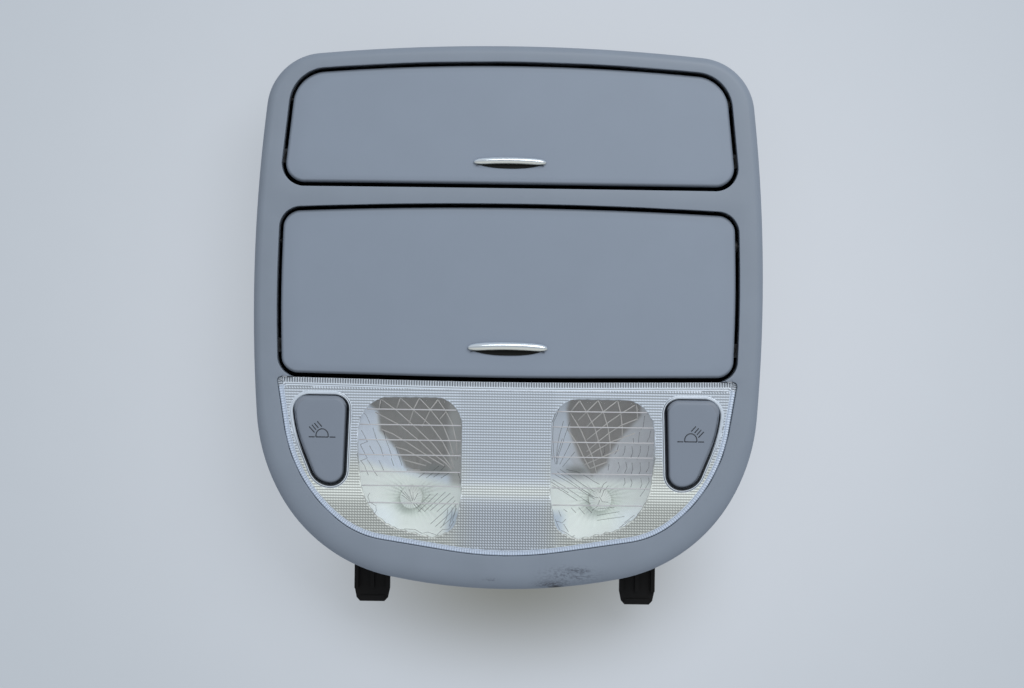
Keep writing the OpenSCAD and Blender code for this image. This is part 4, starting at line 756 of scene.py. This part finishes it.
# ---- lens: a toothed border, a field of small pillows, two clear windows and the keys' collars
# The lens's darker tones below are painted shade
lensField = dict(
    border=3.6, toothPitch=1.12, toothPoints=4, toothDepth=0.45, toothDark=0.4, spacing=0.6,
    top=(-29, 2),        # where the lens's top zone begins, and over how far
    topTeeth=0.6,        # how much deeper the teeth are there, as a share of their depth
    topDark=0.48,        # how much darker they are
    topShade=0.25,       # and how much darker their rows
    sideShare=0.62,      # how much of each inset is kept away from the top
    dotGap=0.85,         # the shade between the dots that the teeth leave
    pillow=1.2, pillowDepth=0.18, pillowDark=0.72, band=(-73, 5), bandLight=0.3,
    blue=(0.85, 0.885, 0.955), warm=(0.07, 0.02, -0.13),
    # Inset, drop under the lens, share of the teeth and painted shade, then, away from the top,
    # the tint's strength and whether the teeth cut the row's painted shade into dots
    rows=[(0.0, 2.1, 0, 0.5, 0.3, 0), (0.0, 0.3, 0, 0.6, 0.3, 0), (0.2, 0.05, 1, 1.0, 0.6, 0),
          (0.9, 0.0, 1, 1.05, 1, 0), (1.7, 0.0, 1, 1.05, 1, 0), (2.2, 0.0, 1, 1.0, 1, 0),
          (2.3, 0.0, 0, 0.82, 1, 0), (2.75, 0.0, 0, 0.84, 1, 0), (2.85, 0.2, 0, 0.36, 1, 1),
          (3.15, 0.2, 0, 0.4, 1, 1), (3.25, 0.0, 0, 1.0, 1, 0), (3.6, 0.05, 0, 1.0, 1, 0)],
)
# From the key's gap outward: across, up from the lens, and tone, a painted shade
collarRows = [
    (0, -1.7, 0.04), (0, 0.3, 0.05), (0.42, 0.52, 0.06), (0.5, 0.56, 0.75), (0.78, 0.54, 0.8),
    (0.86, 0.45, 0.16), (1.12, 0.02, 0.2), (1.2, 0.0, 0.9), (1.4, -0.05, 0.95), (1.4, -1.7, 0.9),
]
windowSet = dict(
    topY=-32.0, innerX=19.7, outerX=65.4, pane=0.9, paneDrop=0.05, wallOut=0.25, wallDrop=1.6,
    ridges=[-37.9, -44.7, -51.4, -58.0, -65.4, -71.6, -79.2],
)
reflectorSet = dict(
    bulb=(42.55, -78), hole=5.0, rimZ=43.0, floorZ=22.6, power=1.9, flutes=34, fluteDepth=0.28,
    spacing=0.45, holePoints=48, shadowEdge=(-1.0, 2.4), gain=1.5, lightest=0.96, thickness=1.0,
)
lensCorners = mirrored(lensShape["half"])


def movedIn(edge, inset, s):
    # The edge's points moved towards the inset loop: all the way at the top, by a share elsewhere
    share = s["sideShare"] + (1 - s["sideShare"]) * ramp(edge[:, 1], *s["top"])
    return edge + (nearestOn(edge, insetLoop(lensCorners, inset)) - edge) * share[:, None]


def makeLensBorder(s):
    # Rows inset from the lens's edge. The teeth are a wave along it: depth x (1 - cos) / 2. The
    # rows' tones are painted shade, darkest between the teeth and in the notches.
    edge = toothedLoop(lensCorners, s["toothPitch"], s["toothPoints"])
    wave = (1 - np.cos(np.arange(len(edge)) * 2 * math.pi / s["toothPoints"])) / 2
    atTop = ramp(edge[:, 1], *s["top"])
    rings, shades = [], []
    for inset, drop, share, shade, tint, dotted in s["rows"]:
        p = movedIn(edge, inset, s) if inset else edge
        depth = s["toothDepth"] * (1 - s["topTeeth"] * (1 - atTop))
        rings.append(np.column_stack((p, lensTop(p[:, 0], p[:, 1]) - drop - share * depth * wave)))
        darker = share * (s["toothDark"] + s["topDark"] * atTop) * wave
        tone = shade * (1 - s["topShade"] * atTop * share) * (1 - darker)
        if dotted:
            tone = np.where(wave > 0.4, tone, s["dotGap"]) * (1 - atTop) + tone * atTop
        blue = np.array(s["blue"]) * tint
        shades.append(tone[:, None] * (1 - (1 - blue) * (1 - atTop[:, None])))
    faces = gridFaces(len(rings), len(edge))[:, ::-1]
    piece = addPiece("lensBorder", np.concatenate(rings), faces, "console", "clear_lens")
    finishPiece(piece, "lensTextureShade", np.concatenate(shades), wall=0.6)


def pillowField(x, y, s):
    # |cos| waves both ways, 1 on the pillows' tops; how strong the wave across is changes below
    # and beside the windows and along the top
    cx, cy = [1 - np.abs(np.cos(math.pi * v / s["pillow"])) for v in (x, y)]
    across = 0.45 + 0.45 * ramp(y, -76, -5) - 0.2 * ramp(np.abs(x), 19.5, 3)
    across = np.maximum(across, 0.8 * ramp(y, -30.5, 1.5))
    return 1 - cy - cx * across + cx * cy * across


def makeLensField(s):
    edge = toothedLoop(lensCorners, s["toothPitch"], s["toothPoints"])
    outer = movedIn(edge[::2], s["border"], s)
    outer = outer[np.linalg.norm(outer - np.roll(outer, 1, 0), axis=1) > 0.05]
    holes = []
    for side, _ in sides:
        p, m = sideLoop(keyCorners, side)
        holes.append(p + (lensShape["keyGap"] + lensShape["collarWidth"] - 0.1) * m)
        holes.append(sideLoop(windowCorners, side)[0])

    def top(x, y):
        return lensTop(x, y) - s["pillowDepth"] * (1 - pillowField(x, y, s))

    verts, faces = faceBetween(outer, holes, s["spacing"], top)
    piece = addPiece("lensField", verts, faces, "console", "clear_lens", ("lens",))
    x, y = verts[:, 0], verts[:, 1]
    # Painted shade: the grooves between the pillows darker; a lighter band across, and a little
    # darker towards the bottom
    tone = 1 - s["pillowDark"] * (1 - pillowField(x, y, s))
    tone *= (1 + s["bandLight"] * hump(y, *s["band"])) * (1 - 0.05 * ramp(y, -80, -8))
    warm = np.maximum(ramp(y, -52, -14) * ramp(np.abs(x), 10, 20), 0.8 * hump(y, -73.5, 4))
    tint = 1 + warm[:, None] * np.array(s["warm"])
    finishPiece(piece, "lensTextureShade", tone[:, None] * tint, wall=1.6)


def makeCollar(name, side):
    # A ring round a key: a small arch from the key's gap to the lens, its two grooves darkened by
    # painted shade except where the collar looks thin, at its upper end and its outer shoulder
    loop = sideLoop(keyCorners, side)
    x, y = np.abs(loop[0][:, 0]), loop[0][:, 1]
    rings = [ringAt(loop, lensShape["keyGap"] + out, lensLess(-up)) for out, up, _ in collarRows]
    faces = gridFaces(len(rings), len(x))
    piece = addPiece(name, np.concatenate(rings), faces, "console", "clear_lens")
    tone = np.repeat([t for _, _, t in collarRows], len(x))
    thin = np.maximum(ramp(y, -35, 3), ramp(x, 84, 5) * ramp(y, -58, 12))
    tone = tone + (0.7 - tone) * np.tile(thin, len(rings)) * (tone < 0.5)
    finishPiece(piece, "lensTextureShade", tone, merge=0.0005, wall=0.3)


def makeWindow(name, side, s):
    # A thin pane, and a wall round it down to the reflector's rim
    loop = sideLoop(windowCorners, side, 1.5)
    pane = faceBetween(loop[0] - skin["out"] * loop[1], [], 2.5, lensLess(s["paneDrop"]))
    finishPiece(addPiece(name, *pane, "console", "clear_lens"), "windowClear", wall=s["pane"])
    heights = (lensLess(s["wallDrop"]), reflectorSet["rimZ"])
    rings = [ringAt(loop, s["wallOut"], z) for z in heights]
    faces = gridFaces(2, len(loop[0]))[:, ::-1]
    wall = addPiece(name + "Wall", np.concatenate(rings), faces, "console", "clear_lens")
    # Painted shade: the wall darker towards its top, beside the bowl's painted dark reflection
    tone = 0.85 - 0.6 * ramp(loop[0][:, 1], -40, 4)
    finishPiece(wall, "lensTextureShade", np.tile(tone, 2), wall=0.4)
    return loop[0]


def levelLines(loop, rows, inset=0.4, count=12):
    # Level lines from where each row enters the loop to where it leaves it
    a, b = loop, np.roll(loop, -1, 0)
    lines = []
    for y in rows:
        hit = (a[:, 1] > y) != (b[:, 1] > y)
        x = a[hit, 0] + (y - a[hit, 1]) * (b[hit, 0] - a[hit, 0]) / (b[hit, 1] - a[hit, 1])
        x = np.linspace(x.min() + inset, x.max() - inset, count)
        lines.append(np.column_stack((x, np.full(count, y))))
    return lines


def inWindow(side, lines):
    # Tenths in pairs, across from the window's left side and down from its top, made points
    start = (-windowSet["outerX"] if side < 0 else windowSet["innerX"], windowSet["topY"])
    return [np.reshape(line, (-1, 2)) * (0.1, -0.1) + start for line in lines]


# The windows' bright lines, painted reflections of the reflector's facets, in pairs of tenths of a
# millimetre as inWindow takes them
reflectionLines = dict(left=[
    [97, 15, 166, 64, 250, 136, 329, 210, 384, 275, 418, 320],
    [183, 8, 245, 64, 319, 129, 374, 203, 406, 265, 424, 315],
    [267, 8, 319, 62, 374, 129, 405, 203, 426, 280],
    [349, 15, 384, 64, 413, 119, 432, 195, 439, 280],
    [74, 74, 186, 131, 270, 198, 329, 252, 384, 292, 415, 324],
    [102, 149, 151, 168, 215, 205, 275, 243, 329, 277, 380, 306],
    [156, 223, 210, 238, 265, 267, 324, 297], [200, 282, 300, 307], [215, 327, 275, 327],
    [183, 8, 168, 54], [267, 8, 245, 52, 220, 129], [349, 15, 319, 54, 280, 134],
    [384, 69, 359, 99], [97, 15, 90, 56],
], right=[
    [124, 10, 158, 66, 193, 131, 213, 200, 228, 260],
    [206, 8, 230, 62, 252, 131, 262, 200, 262, 230], [292, 8, 307, 66, 314, 131, 314, 170],
    [376, 22, 381, 82], [84, 66, 129, 136, 158, 200, 183, 255, 203, 329],
    [72, 136, 119, 205, 148, 265, 173, 310], [124, 10, 87, 57], [206, 8, 163, 52, 119, 97],
    [292, 8, 230, 57, 186, 97, 158, 124], [376, 22, 309, 64, 257, 101, 205, 144, 158, 183],
    [381, 87, 312, 116, 257, 151, 208, 190, 158, 235], [371, 151, 267, 190, 200, 230, 158, 258],
    [302, 225, 223, 260, 144, 295], [248, 280, 173, 310],
])
# Fine dark lines under the panes: painted dark reflection lines of the reflector's facets
strokeLines = dict(left=[
    [22, 77, 33, 87, 53, 131], [63, 142, 82, 200, 98, 227, 111, 268], [12, 154, 26, 178, 40, 206],
    [8, 217, 22, 244, 40, 278], [10, 287, 28, 310, 39, 338, 46, 353],
    [111, 155, 123, 199, 133, 224, 148, 267], [49, 222, 71, 260],
    [39, 283, 58, 310, 72, 337, 86, 356], [91, 285, 114, 331], [164, 220, 179, 264, 194, 308],
    [146, 276, 158, 311], [98, 23, 96, 56], [40, 203, 10, 217], [39, 278, 11, 289],
    [227, 412, 243, 464], [189, 418, 237, 463], [195, 437, 239, 471], [206, 423, 233, 453],
    [246, 475, 278, 513], [253, 471, 292, 506], [245, 459, 244, 423], [250, 461, 266, 428],
    [268, 359, 301, 334], [301, 362, 334, 336], [334, 358, 367, 333], [367, 361, 405, 336],
    [334, 327, 357, 307], [365, 328, 384, 308], [267, 512, 354, 428], [295, 511, 387, 422],
    [322, 505, 409, 427], [350, 511, 426, 442], [262, 494, 321, 433],
    [323, 565, 388, 504, 432, 459], [345, 576, 405, 520, 436, 475], [367, 581, 422, 531, 438, 492],
    [52, 431, 44, 448, 52, 470, 80, 488, 83, 508, 75, 524],
    [208, 588, 257, 591, 285, 607, 312, 601, 351, 614, 376, 589, 406, 586, 427, 550],
    [441, 332, 452, 365, 452, 387], [399, 498, 394, 539, 378, 570], [418, 489, 417, 531, 406, 575],
    [435, 481, 430, 519, 417, 553],
], right=[
    [37, 35, 25, 73, 10, 107, 7, 173, 13, 250, 21, 293],
    [77, 122, 61, 166, 50, 205, 35, 249, 28, 293], [54, 101, 38, 161, 28, 216, 25, 271],
    [86, 199, 62, 249, 40, 293], [106, 237, 79, 271, 52, 304], [-1, 107, -2, 189, 7, 272],
    [50, 178, 29, 249, 25, 293], [18, 68, 5, 107], [82, 106, 71, 133],
    [69, 315, 118, 325, 162, 347, 195, 368, 218, 379], [41, 315, 85, 342, 141, 380, 196, 412],
    [19, 338, 86, 375, 152, 418, 197, 445], [8, 360, 64, 392, 130, 435, 180, 467],
    [9, 387, 59, 414, 120, 452], [30, 326, 80, 359, 141, 402, 191, 434],
    [3, 371, 36, 392, 81, 419], [60, 491, 76, 502], [93, 485, 115, 507], [126, 482, 153, 512],
    [159, 481, 186, 506], [203, 489, 285, 480], [208, 517, 307, 499], [209, 539, 330, 520],
    [330, 548, 373, 514], [308, 570, 352, 537], [23, 536, 44, 582, 72, 595, 97, 613, 111, 607],
    [27, 544, 55, 552, 71, 535], [61, 557, 83, 592], [298, 206, 293, 229, 282, 246],
    [328, 207, 326, 234, 318, 252], [358, 209, 362, 237, 354, 259], [397, 206, 395, 236, 381, 267],
    [433, 204, 431, 227, 424, 255], [258, 290, 254, 318], [299, 279, 305, 301, 295, 323],
    [332, 278, 338, 306, 327, 329], [359, 281, 363, 311, 357, 332], [395, 280, 398, 316, 390, 334],
    [435, 277, 434, 302, 422, 324], [327, 350, 330, 372, 323, 386], [355, 352, 361, 371, 355, 391],
    [399, 349, 405, 376, 397, 396], [434, 346, 436, 365, 416, 404, 397, 431], [326, 262, 329, 267],
    [363, 173, 365, 195], [391, 146, 386, 195], [440, 139, 435, 167, 424, 189],
    [412, 74, 407, 123, 396, 134], [237, 203, 238, 236, 230, 252], [218, 417, 234, 379, 250, 367],
    [227, 434, 237, 406, 256, 384], [218, 434, 230, 456, 257, 458], [213, 439, 185, 434, 169, 424],
    [219, 450, 208, 478, 186, 495], [10, 492, 16, 525], [38, 497, 49, 524],
])
for side, key in sides:
    pane = makeWindow(key + "Window", side, windowSet)
    for kind, lines in (("Ridges", levelLines(pane, windowSet["ridges"])),
                        ("ReflectionLines", inWindow(side, reflectionLines[key])),
                        ("Strokes", inWindow(side, strokeLines[key]))):
        makeBars(key + kind, lines, barSets[kind], "console", "clear_lens")
    makeCollar(key + "Collar", side)
makeLensBorder(lensField)
makeLensField(lensField)
print("lens made")

# ---- reflectors behind the windows, and the bulbs in them
# Outline of each window's painted dark reflection in its upper part, in pairs like the lines
darkReflectionParts = dict(left=[
    45, 40, 75, -40, 500, -40, 500, 70, 500, 345, 280, 345, 210, 315, 160, 225, 95, 155, 85, 70,
], right=[
    65, 45, 85, -40, 400, -40, 395, 75, 310, 170, 260, 240, 250, 290, 180, 345, 125, 265, 78, 145,
])
bowlReflectionTones = dict(
    left=dict(side=srgb(172, 181, 193), strip=srgb(136, 137, 136), dark=srgb(108, 107, 105),
              stripAt=(7, -4), leftOnly=1, lean=0.24),
    right=dict(side=srgb(153, 156, 161), strip=srgb(160, 168, 178), dark=srgb(108, 106, 104),
               stripAt=(12, -6), leftOnly=0, lean=0),
    low=srgb(191, 197, 195), fan=srgb(162, 170, 164), outer=srgb(196, 204, 208),
    inner=srgb(152, 163, 176), deep=srgb(98, 101, 100), edge=srgb(186, 190, 186),
)


def bowlReflectionTone(own, s, inner, down, t, angle, shadow):
    # Tones of painted reflection and shade laid over one another, each by a smooth weight: the
    # inner strip, the light edge, the dark upper part, the strip again in it, the deepest spot,
    # the bright low zone, its outer and inner corners and the fan round the bulb; then fine dark
    # lines of painted shade that fan out along the flutes
    layers = [
        (own["strip"], ramp(inner, *own["stripAt"])),
        (s["edge"], own["leftOnly"] * 0.6 * hump(down, 12, 8) * ramp(inner, 39.7, -6)),
        (own["dark"], shadow),
        (own["strip"], own["leftOnly"] * shadow * ramp(inner, 7.7, -4)),
        (s["deep"], hump(inner, 11.5, 6) * hump(down, 32, 2.6)),
        (s["low"], ramp(down, 33.5 + own["lean"] * (14 - inner), 5)),
        (s["outer"], ramp(down, 44, 8) * ramp(inner, 24, 10)),
        (s["inner"], ramp(down, 47, 6) * ramp(inner, 9, -6)),
        (s["fan"], 0.8 * hump(inner, 22.6, 7) * hump(down, 46, 5.5)),
    ]
    c = np.tile(own["side"], (len(t), 1))
    for tone, weight in layers:
        c = c + weight[:, None] * (np.array(tone) - c)
    lines = np.cos(angle * reflectorSet["flutes"]) < -0.1
    lines = lines * ramp(t, 0.12, 0.1) * ramp(t, 0.75, -0.4) * ramp(down, 36, 4)
    return c * (1 - (0.12 + 0.2 * ramp(t, 0.5, -0.3)) * lines)[:, None]


def makeReflector(name, key, side, s):
    # A bowl whose height over its floor is (share of the way from the bulb to the window's edge) ^
    # power, with flutes that fan out from the bulb. Its tones are painted reflections and shade,
    # laid where the camera sees them and raised by a gain that is painted light.
    p, m = sideLoop(windowCorners, side, 1.5)
    rim = p + windowSet["wallOut"] * m
    bulb = np.array(s["bulb"]) * (side, 1)
    rel = rim - bulb
    rimAngle = np.arctan2(rel[:, 1], rel[:, 0])
    order = np.argsort(rimAngle)
    rimAngle, rimReach = rimAngle[order], np.hypot(rel[:, 0], rel[:, 1])[order]

    def share(x, y):
        angle = np.arctan2(y - bulb[1], x - bulb[0])
        reach = np.interp(angle, rimAngle, rimReach, period=2 * math.pi)
        return np.clip(np.hypot(x - bulb[0], y - bulb[1]) / reach, 0, 1), angle

    def height(x, y):
        t, angle = share(x, y)
        bowl = s["floorZ"] + (s["rimZ"] - s["floorZ"]) * t ** s["power"]
        return bowl + s["fluteDepth"] * np.cos(angle * s["flutes"]) * np.sin(math.pi * t)

    verts, faces = faceBetween(rim, [circle(s["holePoints"], s["hole"], bulb)],
                               s["spacing"], height)
    piece = addPiece(name, verts, faces, "console", "silvered", (key + "_reflector",))
    aim, away = np.array(cameraSet["aim"]), cameraSet["distance"]
    deeper = away / (away + cameraSet["faceHeight"] - verts[:, 2])
    points = aim + (verts[:, :2] - aim) * deeper[:, None]
    dark = inWindow(side, [darkReflectionParts[key]])[0]
    into = distanceTo(points, dark) * np.where(insideLoop(points, dark, 1e-6), 1, -1)
    inner, down = side * points[:, 0] - windowSet["innerX"], windowSet["topY"] - points[:, 1]
    tone = bowlReflectionTone(bowlReflectionTones[key], bowlReflectionTones, inner, down, *share(verts[:, 0], verts[:, 1]),
                    ramp(into, *s["shadowEdge"]))
    # Painted light: the tones raised by the gain, up to the lightest
    shade = np.minimum(tone * s["gain"], s["lightest"])
    finishPiece(piece, "bowlPaintedReflection", shade, wall=s["thickness"])


bulbSet = dict(
    points=72, lineEvery=3, reflectionLineDark=0.22,
    # radius and height, from the tip down
    profile=[(0.05, 36.9), (1.0, 36.85), (2.0, 36.6), (3.0, 36.0), (3.9, 35.0), (4.5, 33.8),
             (4.85, 32.2), (4.95, 30.0), (4.9, 21.0)],
)


def makeBulb(name, side, replaced, s):
    # A frosted dome: its profile turned round the bulb's axis, with fine darker lines up it that
    # are painted reflections of the bowl's flutes; its finish gives off light as painted light
    axis = np.array(reflectorSet["bulb"]) * (side, 1)
    n = s["points"]
    rings = [np.column_stack((circle(n, r, axis), np.full(n, z))) for r, z in s["profile"]]
    verts = np.vstack((*rings, [*axis, s["profile"][-1][1]]))
    i, last = np.arange(n), n * len(rings)
    foot = np.stack((last - n + (i + 1) % n, last - n + i, np.full(n, last)), 1)
    faces = [*gridFaces(len(rings), n), i[::-1], *foot]
    piece = addPiece(name, verts, faces, "console", "bulb_glass", (replaced,))
    lines = np.tile(1 - s["reflectionLineDark"] * (i % s["lineEvery"] == 0), len(rings))
    finishPiece(piece, "bulbFrostGlow", np.append(lines, 1), merge=0.004)


for side, key in sides:
    makeReflector(key + "Bowl", key, side, reflectorSet)
    makeBulb(key + "BulbDome", side, key + "_bulb", bulbSet)
print("reflectors made")

# ---- grips: a bright arched bar, its highlight and shade painted, over a thumb hollow painted dark as shade. Shares are of the grip's width
gripSet = dict(
    upper=dict(y=71.6, half=16.0, width=5.2, body="upper_bin", node="upper_grip"),
    lower=dict(y=-10.2, half=17.6, width=6.2, body="lower_bin", node="lower_grip"),
    count=41, arc=15, rise=2.5, endRise=0.25, base=0.05, arch=0.13, barTop=0.29, barShare=0.58,
    hollowRows=7, hollowHalf=0.93, hollowLow=0.56, hollowTop=0.02, hollowShadeTones=(0.15, 0.8),
    hollowUp=0.85, hollowFall=0.6, hollowDip=0.33,
    # Painted highlight and shade across the bar, from its upper edge to its lower one: red, green
    # and blue
    at=(0.0, 0.12, 0.4, 0.52, 0.62, 0.8, 0.9, 1.0),
    lightAndShadeBands=((0.45, 0.72, 0.8, 0.5, 0.95, 1.0, 0.5, 0.1),
           (0.52, 0.82, 0.88, 0.56, 0.98, 1.0, 0.52, 0.1),
           (0.6, 0.92, 0.95, 0.62, 0.92, 0.9, 0.46, 0.09)),
)


def makeGrip(name, own, s):
    # The bar: half-ellipse sections along an arch; their width shrinks towards rounded ends by
    # (1 - t ^ 8) ^ 0.5. The hollow: sections from the bar's lower edge to a flatter arc under it.
    w, n, k = own["width"], s["count"], s["arc"]
    t = np.sin(np.linspace(-math.pi / 2, math.pi / 2, n))[:, None]
    ends = np.sqrt(np.maximum(0.0, 1 - np.abs(t) ** 8))
    x = own["half"] * t
    top = own["y"] + w * s["barTop"] + s["arch"] * w * (1 - t * t)
    low = top - w * s["barShare"]
    span = (top - low) / 2 * ends
    base = crown(0, own["y"]) + s["base"]
    a = np.linspace(0, math.pi, k)[None, :]
    y = (top + low) / 2 + span * np.cos(a)
    z = base + s["rise"] * (s["endRise"] + (1 - s["endRise"]) * ends) * np.sin(a) ** 0.7
    verts = np.dstack((x + 0 * a, y, z)).reshape(-1, 3)
    i = np.arange(n - 1) * k
    foot = np.stack((i, i + k - 1, i + 2 * k - 1, i + k), 1)
    faces = [*gridFaces(n, k, closed=False), *foot]
    bar = addPiece(name + "Bar", verts, faces, own["body"], "bright_trim", (own["node"],))
    tone = np.transpose([np.interp(np.linspace(0, 1, k), s["at"], band) for band in s["lightAndShadeBands"]])
    finishPiece(bar, "trimShade", np.tile(tone, (n, 1)), merge=0.001)
    # The hollow: a sheet painted dark, the shade under the bar, darkest beside the bar
    k = s["hollowRows"]
    rows = np.linspace(0, 1, k)[None, :]
    upper = low + span * 0.25
    bow = np.sqrt(np.maximum(0, 1 - np.abs(t) ** 2.2))
    under = np.minimum(own["y"] + w * (s["hollowTop"] - s["hollowLow"] * bow), upper - 0.02)
    y = upper + (under - upper) * rows
    dip = s["hollowDip"] * np.sin(math.pi * rows) * np.sqrt(np.maximum(0, 1 - t * t))
    z = base + s["hollowUp"] - s["hollowFall"] * rows - dip
    verts = np.dstack((x * s["hollowHalf"] + 0 * rows, y, z)).reshape(-1, 3)
    faces = gridFaces(n, k, closed=False)
    hollow = addPiece(name + "Hollow", verts, faces, own["body"], "bright_trim")
    tones = np.tile(np.linspace(*s["hollowShadeTones"], k), n)
    finishPiece(hollow, "hollowShade", tones, merge=0.001, wall=0.15)


for bay in ("upper", "lower"):
    makeGrip(bay + "Grip", gripSet[bay], gripSet)
print("grips made")

# ---- lamp signs on the keys: a dome on a broken base line, and four rays
signSet = dict(
    at=(81.3, -50.5), domeHalf=2.7, domeFoot=0.7, domeRise=2.9,
    lines=[[(-2.7, 0), (2.7, 0)], [(-5.9, 0), (-3.3, 0)], [(3.3, 0), (5.9, 0)],
           [(-5.73, 4.48), (-3.37, 1.95)], [(-4.55, 5.32), (-2.70, 3.13)],
           [(-3.47, 6.06), (-1.68, 3.98)], [(-2.19, 6.84), (-0.17, 4.58)]],
)


def makeSign(name, side, body, s):
    a = np.linspace(0, math.pi, 17)
    w = s["domeHalf"]
    dome = np.column_stack((w * np.cos(a), s["domeFoot"] + s["domeRise"] * np.sin(a)))
    lines = [np.vstack(((w, 0.0), dome, (-w, 0.0)))]
    lines += [np.linspace(a, b, 4) for a, b in s["lines"]]
    at = (side * s["at"][0], s["at"][1])
    makeBars(name, [line * (-side, 1) + at for line in lines], barSets["Sign"], body, "key_grey")


for side, key in sides:
    makeSign(key + "Sign", side, key + "_push", signSet)
print("signs made")

# ---- floor, light and world. To the camera the floor is part of its own light, in soft spots: a painted pool of light in the middle that fades to the corners, and a painted shadow under the console
stageSet = dict(
    floorHalf=4000, floorZ=-0.5, floorColour=srgb(198, 204, 214), seenShare=0.6,
    # The seen floor: a painted pool of light, lighter in the middle than at the corners
    seenColour=srgb(228, 234, 242), middle=((25, 0, 0), (330, 330, 100)),
    cornerColour=srgb(190, 199, 207),
    # A painted shadow under the console
    shadowUnderColour=srgb(138, 139, 129), under=((5, -118, 0), (115, 62, 100)),
    worldColour=(0.93, 0.96, 1.0), worldStrength=0.52,
    lampPower=13.5, lampSize=(1200, 900), lampAt=(500, 900, 1300),
)


def makeStage(s):
    e, z = s["floorHalf"] * mm, s["floorZ"] * mm
    mesh = bpy.data.meshes.new("floor")
    mesh.from_pydata([(-e, -e, z), (e, -e, z), (e, e, z), (-e, e, z)], [], [(0, 1, 2, 3)])
    floor = addObject(mesh)
    m = plasticMaterial("paleSurface", s["floorColour"], grainSize=900, mottle=0.01, bump=0.05,
                        specular=0.15)
    t = m.node_tree
    seen = blend(t, softSpot(t, *s["middle"]), s["cornerColour"], s["seenColour"])
    seen = blend(t, softSpot(t, *s["under"]), seen, s["shadowUnderColour"])
    paintedGlow = node(t, "Emission", {"Color": seen, "Strength": 1.0}).outputs["Emission"]
    share = reckon(t, "MULTIPLY", node(t, "LightPath").outputs["Is Camera Ray"], s["seenShare"])
    surface = t.nodes["Principled BSDF"].outputs["BSDF"]
    mix = node(t, "MixShader", {0: share, 1: surface, 2: paintedGlow}).outputs["Shader"]
    connect(t, t.nodes["Material Output"].inputs, {"Surface": mix})
    mesh.materials.append(m)
    world = bpy.data.worlds.new("softRoom")
    bpy.context.scene.world = world
    world.use_nodes = True
    connect(world.node_tree, world.node_tree.nodes["Background"].inputs,
            {"Color": s["worldColour"], "Strength": s["worldStrength"]})
    lamp = bpy.data.lights.new("softWindow", "AREA")
    lamp.shape = "RECTANGLE"
    lamp.size, lamp.size_y = [v * mm for v in s["lampSize"]]
    lamp.energy = s["lampPower"]
    placed = addObject(lamp)
    placed.location = Vector(s["lampAt"]) * mm
    placed.rotation_euler = (-placed.location).to_track_quat("-Z", "Y").to_euler()


makeStage(stageSet)
bpy.context.scene.view_settings.view_transform = "Standard"
